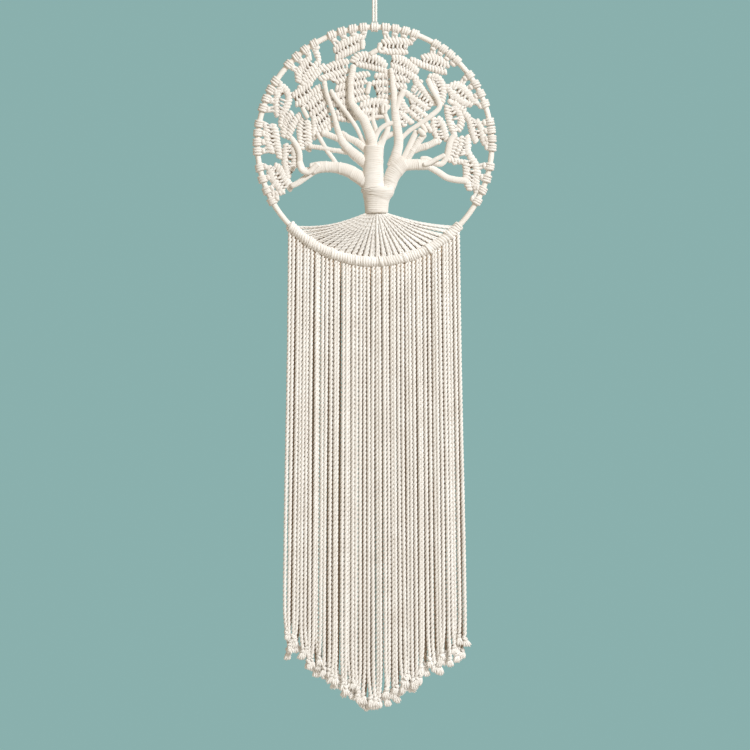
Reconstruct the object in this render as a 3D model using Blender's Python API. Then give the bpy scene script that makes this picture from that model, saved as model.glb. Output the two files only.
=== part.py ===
"""A macrame tree of life in a wrapped hoop, hung from a doubled cord, with a long fringe.

The hoop stands in the XZ plane with its front towards -Y. The origin is the point where the
hanging loop rests on its nail. Layout tables are in millimetres from the hoop's centre.
"""
import math
from collections import namedtuple

import bmesh
import bpy
from mathutils import Vector

MM = 0.001

# Driving sizes
HOOP_OUTER_DIAMETER = 300 * MM
HOOP_CORD_RADIUS = 3.5 * MM
HOOP_RADIUS = HOOP_OUTER_DIAMETER / 2 - HOOP_CORD_RADIUS
HOOP_CENTRE_Z = -210 * MM
HOOP_SEGMENTS = 64
TUBE_SIDES = 8
GAP = 0.3 * MM

KNOT_RADIUS = 6.0 * MM
LEAD_START = 4.8 * MM
LEAD_REACH = 14 * MM
LEAD_INSET = math.radians(0.7)
LEAD_HALF_DEPTH = 3.0 * MM
LEAF_HALF_DEPTH = 3.6 * MM
LEAF_CORNER = 3.0 * MM
LEAF_CORNER_SHARE = 0.8
LEAF_DEPTH_STEP = 0.08 * MM
LEAF_DEPTH_LEVELS = 3
LEAF_REACH_MARGIN = 2 * MM
LIMB_DEPTH_RATIO = 0.7

BAND_HALF_ANGLE = math.radians(46.2)
BAND_RADIUS = 5.8 * MM
SLEEVE_BORE = 4.0 * MM
SLEEVE_SEGMENT = math.radians(5)

TRUNK_Y = -6 * MM
COLLAR_FOOT_LEFT = -12 * MM
COLLAR_FOOT_RIGHT = 17 * MM
COLLAR_FOOT_Z = -86.5 * MM
ROOT_HALF_DEPTH_TOP = 7 * MM
ROOT_HALF_DEPTH_BAND = 4 * MM
ROOT_SAG = 3 * MM
ROOT_COLUMNS = 20
ROOT_ROWS = 5

FRINGE_CORDS = 46
FRINGE_LEFT = -108 * MM
FRINGE_RIGHT = 107 * MM
FRINGE_FLARE = 1.07
FRINGE_SHIFT = 1 * MM
FRINGE_LOWEST = -709 * MM
FRINGE_RISE = 0.74
FRINGE_UNEVEN = 6 * MM
FRINGE_UNEVEN_TURN = 7.3
SPINE_HEIGHT = 4 * MM
SPINE_HALF_DEPTH = 3.4 * MM
TOOTH_SHARE = 0.88
TOOTH_HALF_DEPTH = 2.2 * MM
TOOTH_STAGGER = 1.0 * MM
TOOTH_LEVELS = 2

HANGER_CORD_RADIUS = 1.6 * MM
HANGER_LEG_X = 1.75 * MM
HANGER_EYE_RADIUS = 6.6 * MM
HANGER_EYE_NECK = 18 * MM
HANGER_LEG_STEPS = 4
HANGER_NECK_STEPS = 6
HANGER_CROWN_STEPS = 8
HANGER_KNOT_RADIUS = 6.2 * MM
HANGER_KNOT_HALF_ANGLE = math.radians(1.9)

WELD_DISTANCE = 0.01 * MM
CUT_WELD_DISTANCE = 0.02 * MM
SHARP_ANGLE = math.radians(50)

Leaf = namedtuple("Leaf", "from_x from_z to_x to_z rows row_width")
LeafGroup = namedtuple("LeafGroup", "name knot_span leaves")
Limb = namedtuple("Limb", "name trimmed_by depth points")

# Leaf groups in the order in which they are knotted. The knot span is the arc of the hoop, in
# degrees from +X, that carries the group's lark's head knots; inner groups have none.
# Leaf columns: from x, from z, to x, to z, rows of hitches side by side, width of one row.
LEAF_GROUPS = (
    LeafGroup("leaves_top_left", (95.5, 111.5), (
        Leaf(-47, 113, -16, 128, 2, 11),
        Leaf(-65, 86, -32, 98, 2, 11),
    )),
    LeafGroup("leaves_upper_left", (121.0, 137.0), (
        Leaf(-103, 97, -92, 77, 1, 9),
        Leaf(-69, 111, -90, 80, 3, 8),
    )),
    LeafGroup("leaves_inner_left", None, (
        Leaf(-71, 74, -92, 55, 2, 9),
        Leaf(-63, 57, -80, 38, 2, 10),
        Leaf(-60, 38, -72, 13, 2, 10),
        Leaf(-96, 68, -96, 48, 1, 10),
        Leaf(-90, 53, -82, 32, 1, 6),
        Leaf(-73, 33, -75, 8, 1, 9),
    )),
    LeafGroup("leaves_left", (147.5, 162.0), (
        Leaf(-112, 73, -120, 37, 2, 11),
        Leaf(-103, 39, -111, 9, 2, 11),
    )),
    LeafGroup("leaves_mid_left", (170.0, 183.5), (
        Leaf(-131, 24, -123, -13, 2, 9),
    )),
    LeafGroup("leaves_low_left_inner", None, (
        Leaf(-108, -1, -106, -31, 2, 9),
    )),
    LeafGroup("leaves_low_left", (191.5, 209.0), (
        Leaf(-125, -30, -110, -57, 2, 11),
    )),
    LeafGroup("leaves_centre_left", None, (
        Leaf(-88, 30, -88, -7, 2, 8),
    )),
    LeafGroup("leaves_crown_left", None, (
        Leaf(-43, 82, -31, 33, 2, 8),
    )),
    LeafGroup("leaves_crown", None, (
        Leaf(-22, 108, 12, 98, 2, 11),
        Leaf(-24, 100, -21, 56, 2, 8),
        Leaf(8, 93, 12, 57, 2, 8),
        Leaf(-17, 47, 19, 47, 2, 11),
        Leaf(-7, 90, -9, 52, 1, 5),
    )),
    LeafGroup("leaves_top_right", (70.0, 84.5), (
        Leaf(7, 121, 43, 125, 2, 11),
        Leaf(24, 106, 52, 87, 2, 10),
        Leaf(25, 84, 48, 78, 1, 9),
    )),
    LeafGroup("leaves_inner_right", None, (
        Leaf(32, 75, 34, 28, 2, 7),
        Leaf(46, 70, 74, 45, 2, 9),
        Leaf(48, 46, 61, 33, 2, 9),
        Leaf(36, 42, 46, 24, 2, 8),
    )),
    LeafGroup("leaves_upper_right", (45.5, 58.5), (
        Leaf(59, 108, 90, 94, 2, 10),
        Leaf(72, 93, 85, 55, 1, 8),
    )),
    LeafGroup("leaves_right", (20.0, 36.0), (
        Leaf(98, 72, 122, 53, 2, 11),
        Leaf(89, 75, 93, 62, 1, 8),
    )),
    LeafGroup("leaves_right_inner", None, (
        Leaf(95, 48, 102, 13, 2, 10),
        Leaf(80, 33, 86, 2, 2, 9),
    )),
    LeafGroup("leaves_mid_right", (-1.5, 11.0), (
        Leaf(125, 29, 133, -1, 2, 10),
        Leaf(114, 38, 120, 5, 1, 8),
    )),
    LeafGroup("leaves_low_right_inner", None, (
        Leaf(110, 7, 104, -23, 2, 9),
        Leaf(93, -20, 112, -21, 2, 7),
    )),
    LeafGroup("leaves_low_right", (-29.0, -11.0), (
        Leaf(122, -22, 121, -60, 2, 10),
    )),
)

# Limbs of the tree, thickest first. A depth of None lets a limb ride over the leaves' front.
# Point columns: x, z, width.
LIMBS = (
    Limb("collar", (), TRUNK_Y, ((2.5, -86.2, 29), (2.5, -70, 32), (4, -54.5, 41))),
    Limb("trunk", ("collar",), TRUNK_Y, ((-1, -58, 29), (-1, -38, 24), (-1, -20, 23), (0, -2, 24))),
    Limb("limb_right", ("trunk", "collar"), TRUNK_Y,
     ((17, -58, 15), (22, -40, 19), (30, -28, 21), (38, -22, 20))),
    Limb("limb_left", ("trunk", "collar"), TRUNK_Y,
     ((-9, -48, 18), (-25, -38, 16), (-37, -32, 15), (-53, -29, 13), (-68, -29, 14), (-80, -32, 14))),
    Limb("branch_left_up", ("limb_left",), None,
     ((-80, -33, 11), (-90, -33, 11), (-93, -23, 9), (-94, -11, 8), (-98, -1, 8), (-105, 9, 7))),
    Limb("branch_left_low", ("limb_left", "branch_left_up"), None,
     ((-76, -35, 8), (-88, -45, 8), (-97, -50, 8), (-106, -55, 8))),
    Limb("branch_second", ("trunk",), None,
     ((-8, -27, 15), (-23, -15, 14), (-33, -6, 12), (-41, 4, 10), (-46, 17, 8), (-50, 32, 6),
      (-55, 48, 6), (-60, 63, 6), (-63, 79, 6))),
    Limb("branch_fork", ("trunk", "branch_second"), None,
     ((-9, -9, 10), (-22, 2, 9), (-32, 7, 8), (-42, 15, 6))),
    Limb("branch_thin", ("trunk", "branch_fork", "branch_second"), None,
     ((-15, 5, 6), (-22, 19, 6), (-31, 33, 6), (-42, 48, 6), (-50, 59, 6), (-55, 68, 6))),
    Limb("branch_crown", ("trunk", "branch_fork", "branch_thin"), None,
     ((-3, -5, 15), (-5, 8, 14), (-9, 19, 13), (-13, 29, 12), (-22, 41, 11), (-29, 52, 9),
      (-30, 64, 8), (-30, 78, 8), (-28, 89, 8), (-26, 99, 8))),
    Limb("branch_crown_right", ("limb_right", "trunk"), None,
     ((21, -29, 14), (28, -10, 13), (30, 5, 12), (27, 28, 11), (25, 47, 9), (24, 64, 8),
      (22, 80, 6), (20, 95, 5))),
    Limb("branch_twist", ("trunk", "branch_crown", "branch_crown_right"), None,
     ((7, -5, 10), (9, 8, 9), (14, 20, 8), (15, 35, 8), (14, 48, 7))),
    Limb("branch_hook", ("branch_crown_right", "limb_right"), None,
     ((31, 4, 6), (43, 16, 6), (55, 24, 7), (69, 34, 7), (80, 44, 8), (80, 53, 9), (72, 68, 9),
      (66, 82, 9))),
    Limb("branch_back", ("limb_right", "branch_crown_right", "branch_hook"), None,
     ((34, -23, 8), (42, -6, 8), (48, 7, 8), (53, 17, 8))),
    Limb("branch_front", ("limb_right", "branch_back", "branch_hook"), None,
     ((38, -24, 8), (46, -11, 8), (55, 3, 8), (63, 13, 8))),
    Limb("bough_right", ("limb_right", "branch_front", "branch_back"), TRUNK_Y,
     ((36, -26, 15), (49, -26, 13), (62, -26, 13), (70, -27, 11))),
    Limb("branch_right_up", ("bough_right",), None,
     ((57, -18, 5), (65, -18, 6), (74, -23, 8), (83, -25, 8), (89, -18, 8), (92, -7, 9), (95, 4, 9),
      (102, 13, 8))),
    Limb("branch_right_low", ("bough_right", "branch_right_up"), None,
     ((67, -28, 9), (79, -35, 9), (90, -42, 9), (102, -45, 9), (116, -46, 9))),
    Limb("branch_short", ("branch_front", "branch_back", "bough_right"), None,
     ((47, -9, 9), (57, -5, 9), (67, -2, 9), (79, 4, 9))),
    Limb("twig_1", ("branch_second",), None, ((-34, -4, 8), (-43, 5, 8), (-55, 10, 8), (-67, 15, 8))),
    Limb("twig_2", ("branch_second", "twig_1"), None,
     ((-33, -10, 8), (-50, -8, 6), (-66, -5, 6), (-83, -3, 6))),
    Limb("twig_3", ("limb_left", "twig_2"), None, ((-45, -29, 6), (-53, -17, 6), (-61, -7, 6))),
    Limb("twig_4", ("twig_1", "twig_2"), None, ((-72, 14, 6), (-66, 3, 6), (-61, -6, 6))),
    Limb("twig_5", ("branch_crown", "branch_twist"), None, ((0, 40, 5), (0, 12, 5))),
)


def clear_scene():
    """Start from an empty scene."""
    for leftover in list(bpy.data.objects):
        bpy.data.objects.remove(leftover)


def material(name, colour, roughness):
    """A plain cotton finish."""
    finish = bpy.data.materials.new(name)
    finish.use_nodes = True
    shader = finish.node_tree.nodes["Principled BSDF"]
    shader.inputs["Base Color"].default_value = (*colour, 1)
    shader.inputs["Roughness"].default_value = roughness
    shader.inputs["Metallic"].default_value = 0.0
    return finish


def place(x, y, z):
    """A point given from the hoop's centre, in the part's frame."""
    return Vector((x, y, z + HOOP_CENTRE_Z))


def on_hoop(angle, radius, y=0.0):
    """A point at an angle and radius about the hoop's centre."""
    return place(radius * math.cos(angle), y, radius * math.sin(angle))


def solid(name, mesh, finish, rounded=True):
    """Close, orient and name one piece."""
    bmesh.ops.remove_doubles(mesh, verts=mesh.verts, dist=WELD_DISTANCE)
    bmesh.ops.recalc_face_normals(mesh, faces=mesh.faces)
    data = bpy.data.meshes.new(name)
    mesh.to_mesh(data)
    mesh.free()
    data.materials.append(finish)
    if rounded:
        data.shade_smooth()
        data.set_sharp_from_angle(angle=SHARP_ANGLE)
    piece = bpy.data.objects.new(name, data)
    bpy.context.collection.objects.link(piece)
    return piece


def loft(name, rings, finish, closed=False):
    """Skin a row of rings; the ends are capped unless the row closes on itself."""
    mesh = bmesh.new()
    rows = [[mesh.verts.new(point) for point in ring] for ring in rings]
    count = len(rows[0])
    pairs = list(zip(rows, rows[1:] + rows[:1])) if closed else list(zip(rows, rows[1:]))
    for lower, upper in pairs:
        for k in range(count):
            mesh.faces.new((lower[k], lower[(k + 1) % count], upper[(k + 1) % count], upper[k]))
    if not closed:
        mesh.faces.new(rows[0][::-1])
        mesh.faces.new(rows[-1])
    return solid(name, mesh, finish)


def tube_ring(angle, radius):
    """The section of a tube bent round the hoop's centre."""
    ring = []
    for k in range(TUBE_SIDES):
        turn = 2 * math.pi * k / TUBE_SIDES
        ring.append(on_hoop(angle, HOOP_RADIUS + radius * math.cos(turn), radius * math.sin(turn)))
    return ring


def hoop(name, radius, finish):
    """The whole ring of the hoop."""
    angles = [2 * math.pi * k / HOOP_SEGMENTS for k in range(HOOP_SEGMENTS)]
    return loft(name, [tube_ring(angle, radius) for angle in angles], finish, closed=True)


def arc_angles(start, end):
    """Evenly spaced angles along an arc of the hoop."""
    steps = max(2, round((end - start) / SLEEVE_SEGMENT))
    return [start + (end - start) * k / steps for k in range(steps + 1)]


def sleeve(name, start, end, radius, finish):
    """Cord wound round an arc of the hoop: a bent tube with the hoop's bore through it."""
    angles = arc_angles(start, end)
    outside = [tube_ring(angle, radius) for angle in angles]
    inside = [tube_ring(angle, SLEEVE_BORE) for angle in reversed(angles)]
    return loft(name, outside + inside, finish, closed=True)


def prism(name, outline, half_depth, finish):
    """A flat plate with the given front outline."""
    front = [Vector((p.x, -half_depth, p.z)) for p in outline]
    back = [Vector((p.x, half_depth, p.z)) for p in outline]
    return loft(name, [front, back], finish)


def leaf_outline(leaf, margin):
    """A leaf's outline: its hitch rows side by side, with rounded corners."""
    start = Vector((leaf.from_x, 0, leaf.from_z)) * MM
    end = Vector((leaf.to_x, 0, leaf.to_z)) * MM
    along = (end - start).normalized()
    across = Vector((-along.z, 0, along.x))
    half_length = (end - start).length / 2 + margin
    half_width = leaf.rows * leaf.row_width * MM / 2 + margin
    middle = (start + end) / 2
    corner_radius = min(LEAF_CORNER, LEAF_CORNER_SHARE * half_width)
    outline = []
    for corner, (side, tip) in enumerate(((1, 1), (-1, 1), (-1, -1), (1, -1))):
        centre = (middle + across * side * (half_width - corner_radius)
                  + along * tip * (half_length - corner_radius))
        for k in range(3):
            turn = math.radians(90 * corner + 45 * k)
            rounded = (across * math.cos(turn) + along * math.sin(turn)) * corner_radius
            outline.append(centre + rounded)
    return [place(point.x, 0, point.z) for point in outline]


def apply_boolean(target, tool, operation):
    """Join a tool to a piece, or cut it away, and drop the tool."""
    modifier = target.modifiers.new(operation.title(), "BOOLEAN")
    modifier.operation = operation
    modifier.object = tool
    evaluated = target.evaluated_get(bpy.context.evaluated_depsgraph_get())
    result = bpy.data.meshes.new_from_object(evaluated)
    target.modifiers.clear()
    target.data = result
    bpy.data.objects.remove(tool)


def tidy_mesh(piece):
    """Weld what the cuts left and keep flat faces flat."""
    mesh = bmesh.new()
    mesh.from_mesh(piece.data)
    bmesh.ops.remove_doubles(mesh, verts=mesh.verts, dist=CUT_WELD_DISTANCE)
    bmesh.ops.dissolve_degenerate(mesh, edges=mesh.edges, dist=CUT_WELD_DISTANCE)
    mesh.to_mesh(piece.data)
    mesh.free()


def near(leaf, other):
    """True when two leaves may touch."""
    middles = []
    reach = LEAF_REACH_MARGIN
    for each in (leaf, other):
        start = Vector((each.from_x, each.from_z)) * MM
        end = Vector((each.to_x, each.to_z)) * MM
        middles.append((start + end) / 2)
        reach += (end - start).length / 2 + each.rows * each.row_width * MM / 2
    return (middles[0] - middles[1]).length < reach


def lead_plate(name, start, end, finish):
    """The cords that run from the knots on the hoop to the first row of hitches."""
    angles = arc_angles(start + LEAD_INSET, end - LEAD_INSET)
    outer = [on_hoop(angle, HOOP_RADIUS - LEAD_START) for angle in angles]
    inner = [on_hoop(angle, HOOP_RADIUS - LEAD_REACH) for angle in reversed(angles)]
    return prism(name, outer + inner, LEAD_HALF_DEPTH, finish)


def leaf_group(name, knots, leaves, earlier, finish):
    """One group of hitched leaves, with its knots round the hoop if it has any."""
    plates = []
    for index, leaf in enumerate(leaves):
        half_depth = LEAF_HALF_DEPTH + LEAF_DEPTH_STEP * (index % LEAF_DEPTH_LEVELS)
        plates.append(prism(name, leaf_outline(leaf, 0), half_depth, finish))
    group = plates[0]
    for plate in plates[1:]:
        apply_boolean(group, plate, "UNION")
    if knots:
        start, end = (math.radians(angle) for angle in knots)
        apply_boolean(group, lead_plate("lead", start, end, finish), "UNION")
        wound = [tube_ring(angle, KNOT_RADIUS) for angle in arc_angles(start, end)]
        apply_boolean(group, loft("knots", wound, finish), "UNION")
        apply_boolean(group, hoop("bore", HOOP_CORD_RADIUS + GAP, finish), "DIFFERENCE")
    for other in earlier:
        if any(near(leaf, other) for leaf in leaves):
            room = prism("room", leaf_outline(other, GAP), 2 * LEAF_HALF_DEPTH, finish)
            apply_boolean(group, room, "DIFFERENCE")
    tidy_mesh(group)
    group.name = name
    return group


def limb(name, depth, points, finish, margin=0.0):
    """A bundle of cords as a flattened, tapering round bar."""
    rings = []
    for index, (x, z, width) in enumerate(points):
        before = points[max(index - 1, 0)]
        after = points[min(index + 1, len(points) - 1)]
        along = Vector((after[0] - before[0], 0, after[1] - before[1])).normalized()
        across = Vector((-along.z, 0, along.x))
        half_width = width * MM / 2 + margin
        half_depth = width * MM / 2 * LIMB_DEPTH_RATIO + margin
        y = depth
        if depth is None:
            leaf_front = -LEAF_HALF_DEPTH - LEAF_DEPTH_STEP * (LEAF_DEPTH_LEVELS - 1)
            y = leaf_front - GAP - width * MM / 2 * LIMB_DEPTH_RATIO
        centre = place(x * MM, y, z * MM)
        if index == 0:
            centre -= along * margin
        if index == len(points) - 1:
            centre += along * margin
        ring = []
        for k in range(TUBE_SIDES):
            turn = 2 * math.pi * k / TUBE_SIDES
            ring.append(centre + across * half_width * math.cos(turn)
                        + Vector((0, half_depth * math.sin(turn), 0)))
        rings.append(ring)
    return loft(name, rings, finish)


def tree(finish):
    """The collar, the trunk and every limb, each trimmed by the limbs that it grows from."""
    limbs = {each.name: each for each in LIMBS}
    for each in LIMBS:
        bar = limb(each.name, each.depth, each.points, finish)
        for parent_name in each.trimmed_by:
            parent = limbs[parent_name]
            room = limb("room", parent.depth, parent.points, finish, margin=GAP)
            apply_boolean(bar, room, "DIFFERENCE")
        tidy_mesh(bar)
        bar.name = each.name


def roots(finish):
    """The fan of root cords from the collar's foot to the band on the hoop."""
    mesh = bmesh.new()
    reach = HOOP_RADIUS - BAND_RADIUS - GAP
    sides = []
    for side in (-1, 1):
        grid = []
        for row in range(ROOT_ROWS + 1):
            down = row / ROOT_ROWS
            half_depth = ROOT_HALF_DEPTH_TOP + (ROOT_HALF_DEPTH_BAND - ROOT_HALF_DEPTH_TOP) * down
            line = []
            for column in range(ROOT_COLUMNS + 1):
                share = column / ROOT_COLUMNS
                top = Vector((COLLAR_FOOT_LEFT + (COLLAR_FOOT_RIGHT - COLLAR_FOOT_LEFT) * share,
                              0, COLLAR_FOOT_Z))
                angle = -math.pi / 2 + BAND_HALF_ANGLE * (2 * share - 1)
                foot = Vector((reach * math.cos(angle), 0, reach * math.sin(angle)))
                point = top.lerp(foot, down)
                sag = ROOT_SAG * math.sin(math.pi * down) * (2 * share - 1) ** 2
                y = side * half_depth + TRUNK_Y * (1 - down)
                line.append(mesh.verts.new(place(point.x, y, point.z - sag)))
            grid.append(line)
        sides.append(grid)
    for grid in sides:
        for upper, lower in zip(grid, grid[1:]):
            for k in range(ROOT_COLUMNS):
                mesh.faces.new((upper[k], upper[k + 1], lower[k + 1], lower[k]))
    front, back = sides
    rims = [(front[0], back[0]), (front[-1], back[-1]),
            ([line[0] for line in front], [line[0] for line in back]),
            ([line[-1] for line in front], [line[-1] for line in back])]
    for near_rim, far_rim in rims:
        for k in range(len(near_rim) - 1):
            mesh.faces.new((near_rim[k], near_rim[k + 1], far_rim[k + 1], far_rim[k]))
    return solid("roots", mesh, finish)


def fringe(finish):
    """The fringe as one comb: a spine under the band, and a tooth for each hanging cord."""
    mesh = bmesh.new()
    top_radius = HOOP_RADIUS + BAND_RADIUS + GAP
    pitch = (FRINGE_RIGHT - FRINGE_LEFT) / FRINGE_CORDS
    tooth_width = pitch * TOOTH_SHARE
    stations = []
    for cord in range(FRINGE_CORDS):
        left = FRINGE_LEFT + pitch * cord + (pitch - tooth_width) / 2
        stations.extend((left, left + tooth_width))

    def station_ring(x):
        z_top = -math.sqrt(top_radius ** 2 - x ** 2)
        z_low = z_top - SPINE_HEIGHT
        return [mesh.verts.new(place(x, y, z)) for y, z in (
            (-SPINE_HALF_DEPTH, z_top), (SPINE_HALF_DEPTH, z_top),
            (SPINE_HALF_DEPTH, z_low), (-SPINE_HALF_DEPTH, z_low))]

    rings = [station_ring(x) for x in stations]
    mesh.faces.new(rings[0])
    mesh.faces.new(rings[-1][::-1])
    for index, (near_ring, far_ring) in enumerate(zip(rings, rings[1:])):
        under_tooth = index % 2 == 0
        for k in range(4):
            if k == 2 and under_tooth:
                continue
            mesh.faces.new((near_ring[k], near_ring[(k + 1) % 4],
                            far_ring[(k + 1) % 4], far_ring[k]))
    for cord in range(FRINGE_CORDS):
        near_ring, far_ring = rings[2 * cord], rings[2 * cord + 1]
        upper = [near_ring[3], near_ring[2], far_ring[2], far_ring[3]]
        left, right = stations[2 * cord], stations[2 * cord + 1]
        shift = TOOTH_STAGGER * (1 if cord % 2 else -1)
        start_z = -math.sqrt(top_radius ** 2 - ((left + right) / 2) ** 2) - SPINE_HEIGHT
        foot_x = (left + right) / 2 * FRINGE_FLARE + FRINGE_SHIFT
        uneven = FRINGE_UNEVEN * math.sin(FRINGE_UNEVEN_TURN * cord)
        foot_z = FRINGE_LOWEST + FRINGE_RISE * abs(foot_x) + uneven
        for level in range(1, TOOTH_LEVELS + 1):
            down = level / TOOTH_LEVELS
            x_left = left + (foot_x - (left + right) / 2) * down
            x_right = right + (foot_x - (left + right) / 2) * down
            z = start_z + (foot_z - start_z) * down
            lower = [mesh.verts.new(place(x, y + shift, z)) for x, y in (
                (x_left, -TOOTH_HALF_DEPTH), (x_left, TOOTH_HALF_DEPTH),
                (x_right, TOOTH_HALF_DEPTH), (x_right, -TOOTH_HALF_DEPTH))]
            for k in range(4):
                mesh.faces.new((upper[k], upper[(k + 1) % 4], lower[(k + 1) % 4], lower[k]))
            upper = lower
        mesh.faces.new(upper)
    return solid("fringe", mesh, finish, rounded=False)


def hanger_path():
    """The doubled hanging cord: up one leg, round the nail and down the other leg."""
    foot_z = HOOP_CENTRE_Z + HOOP_RADIUS + HANGER_KNOT_RADIUS + GAP
    eye_z = HANGER_CORD_RADIUS - HANGER_EYE_RADIUS
    neck_z = eye_z - HANGER_EYE_NECK
    leg = []
    for k in range(HANGER_LEG_STEPS + 1):
        leg.append((HANGER_LEG_X, foot_z + (neck_z - foot_z) * k / HANGER_LEG_STEPS))
    for k in range(1, HANGER_NECK_STEPS):
        share = k / HANGER_NECK_STEPS
        ease = share * share * (3 - 2 * share)
        leg.append((HANGER_LEG_X + (HANGER_EYE_RADIUS - HANGER_LEG_X) * ease,
                    neck_z + HANGER_EYE_NECK * share))
    crown = []
    for k in range(HANGER_CROWN_STEPS + 1):
        turn = math.pi * k / HANGER_CROWN_STEPS
        crown.append((HANGER_EYE_RADIUS * math.cos(turn), eye_z + HANGER_EYE_RADIUS * math.sin(turn)))
    path = leg + crown + [(-x, z) for x, z in reversed(leg)]
    return [Vector((x, 0, z)) for x, z in path]


def hanger(finish):
    """The hanging cord as a tube along its path."""
    curve = bpy.data.curves.new("hanger", "CURVE")
    curve.dimensions = "3D"
    curve.bevel_depth = HANGER_CORD_RADIUS
    curve.bevel_resolution = 2
    curve.use_fill_caps = True
    curve.materials.append(finish)
    path = hanger_path()
    spline = curve.splines.new("POLY")
    spline.points.add(len(path) - 1)
    for point, position in zip(spline.points, path):
        point.co = (*position, 1)
    piece = bpy.data.objects.new("hanger", curve)
    bpy.context.collection.objects.link(piece)
    return piece


clear_scene()
wrapped_hoop = material("wrapped_hoop", (0.78, 0.72, 0.63), 0.9)
cotton_cord = material("cotton_cord", (0.80, 0.74, 0.66), 0.95)
wrapping_thread = material("wrapping_thread", (0.82, 0.77, 0.70), 0.9)

hoop("hoop", HOOP_CORD_RADIUS, wrapped_hoop)
done = []
for leafy in LEAF_GROUPS:
    leaf_group(leafy.name, leafy.knot_span, leafy.leaves, done, cotton_cord)
    done.extend(leafy.leaves)
tree(wrapping_thread)
roots(cotton_cord)
foot = -math.pi / 2
sleeve("band", foot - BAND_HALF_ANGLE, foot + BAND_HALF_ANGLE, BAND_RADIUS, cotton_cord)
fringe(cotton_cord)
head = math.pi / 2
sleeve("hanger_knot", head - HANGER_KNOT_HALF_ANGLE, head + HANGER_KNOT_HALF_ANGLE,
       HANGER_KNOT_RADIUS, cotton_cord)
hanger(cotton_cord)
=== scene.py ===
# %% [markdown]
# # A macrame tree of life in a hoop
#
# The hanging is one family of cotton cord, used in six ways: wound round a ring, knotted over it,
# hitched into leaves, bundled and bound with thread into a tree, fanned out as roots, and left
# hanging as a fringe. In each of them something repeats along a path, so three small Geometry
# Nodes trees make them all, fed with the paths that the cords follow.

# %% Load the frame
import math
import random
from collections import namedtuple

import bpy
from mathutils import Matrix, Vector


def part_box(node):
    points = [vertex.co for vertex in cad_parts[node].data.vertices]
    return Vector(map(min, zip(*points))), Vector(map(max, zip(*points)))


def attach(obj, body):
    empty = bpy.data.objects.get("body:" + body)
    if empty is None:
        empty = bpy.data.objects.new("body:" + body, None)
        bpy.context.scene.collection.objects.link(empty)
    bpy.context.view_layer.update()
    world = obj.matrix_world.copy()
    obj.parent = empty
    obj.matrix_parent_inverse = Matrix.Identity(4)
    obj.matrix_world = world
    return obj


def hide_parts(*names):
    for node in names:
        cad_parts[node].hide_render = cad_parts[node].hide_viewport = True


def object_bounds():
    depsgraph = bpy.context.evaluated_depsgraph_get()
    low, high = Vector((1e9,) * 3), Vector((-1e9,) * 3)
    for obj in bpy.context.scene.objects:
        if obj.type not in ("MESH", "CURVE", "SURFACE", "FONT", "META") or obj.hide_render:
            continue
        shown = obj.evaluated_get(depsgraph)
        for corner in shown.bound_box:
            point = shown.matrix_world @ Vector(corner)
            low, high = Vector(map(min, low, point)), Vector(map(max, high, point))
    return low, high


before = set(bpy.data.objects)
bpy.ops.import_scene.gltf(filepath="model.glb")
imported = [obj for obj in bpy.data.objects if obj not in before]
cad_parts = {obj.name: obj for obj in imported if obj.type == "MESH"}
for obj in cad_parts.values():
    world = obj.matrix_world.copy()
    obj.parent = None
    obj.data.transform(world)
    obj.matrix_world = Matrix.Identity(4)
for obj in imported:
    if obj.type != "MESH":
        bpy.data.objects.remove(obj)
cad_low, cad_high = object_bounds()
MM = 0.001
print("frame:", len(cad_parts), "solids,", [round(x / MM) for x in cad_high - cad_low], "mm")

# %% [markdown]
# ## Places
#
# Everything is set out from the ring. Its centre, its radius and the thickness of its winding are
# read from the solid, and tables give places in millimetres from its centre: x to the right,
# z up. The front of the work faces -Y, so a depth below zero is in front of the ring.

# %% Places on and round the ring
ring_low, ring_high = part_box("hoop")
RING_CENTRE = (ring_low + ring_high) / 2
RING_TUBE = (ring_high.y - ring_low.y) / 2
RING_RADIUS = (ring_high.x - ring_low.x) / 2 - RING_TUBE


def place(x, z, y=0.0):
    """A point in millimetres from the ring's centre, as metres in the frame."""
    return Vector((x * MM, y * MM, z * MM)) + RING_CENTRE


def on_ring(degrees, inward=0.0, y=0.0):
    """A point at an angle on the ring, moved inwards and in depth by millimetres."""
    turn = math.radians(degrees)
    radius = RING_RADIUS / MM - inward
    return place(radius * math.cos(turn), radius * math.sin(turn), y)


print("ring radius", round(RING_RADIUS / MM, 1), "mm, winding", round(2 * RING_TUBE / MM, 1), "mm thick")

# %% [markdown]
# ## Node trees
#
# The sky, the cotton and the cords are all built from nodes, and every node is added in the same
# way: make it, set it up, feed its sockets. One small class does that for any kind of tree, so
# that each line below names only what is special about its node.

# %% A helper for node trees


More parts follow.
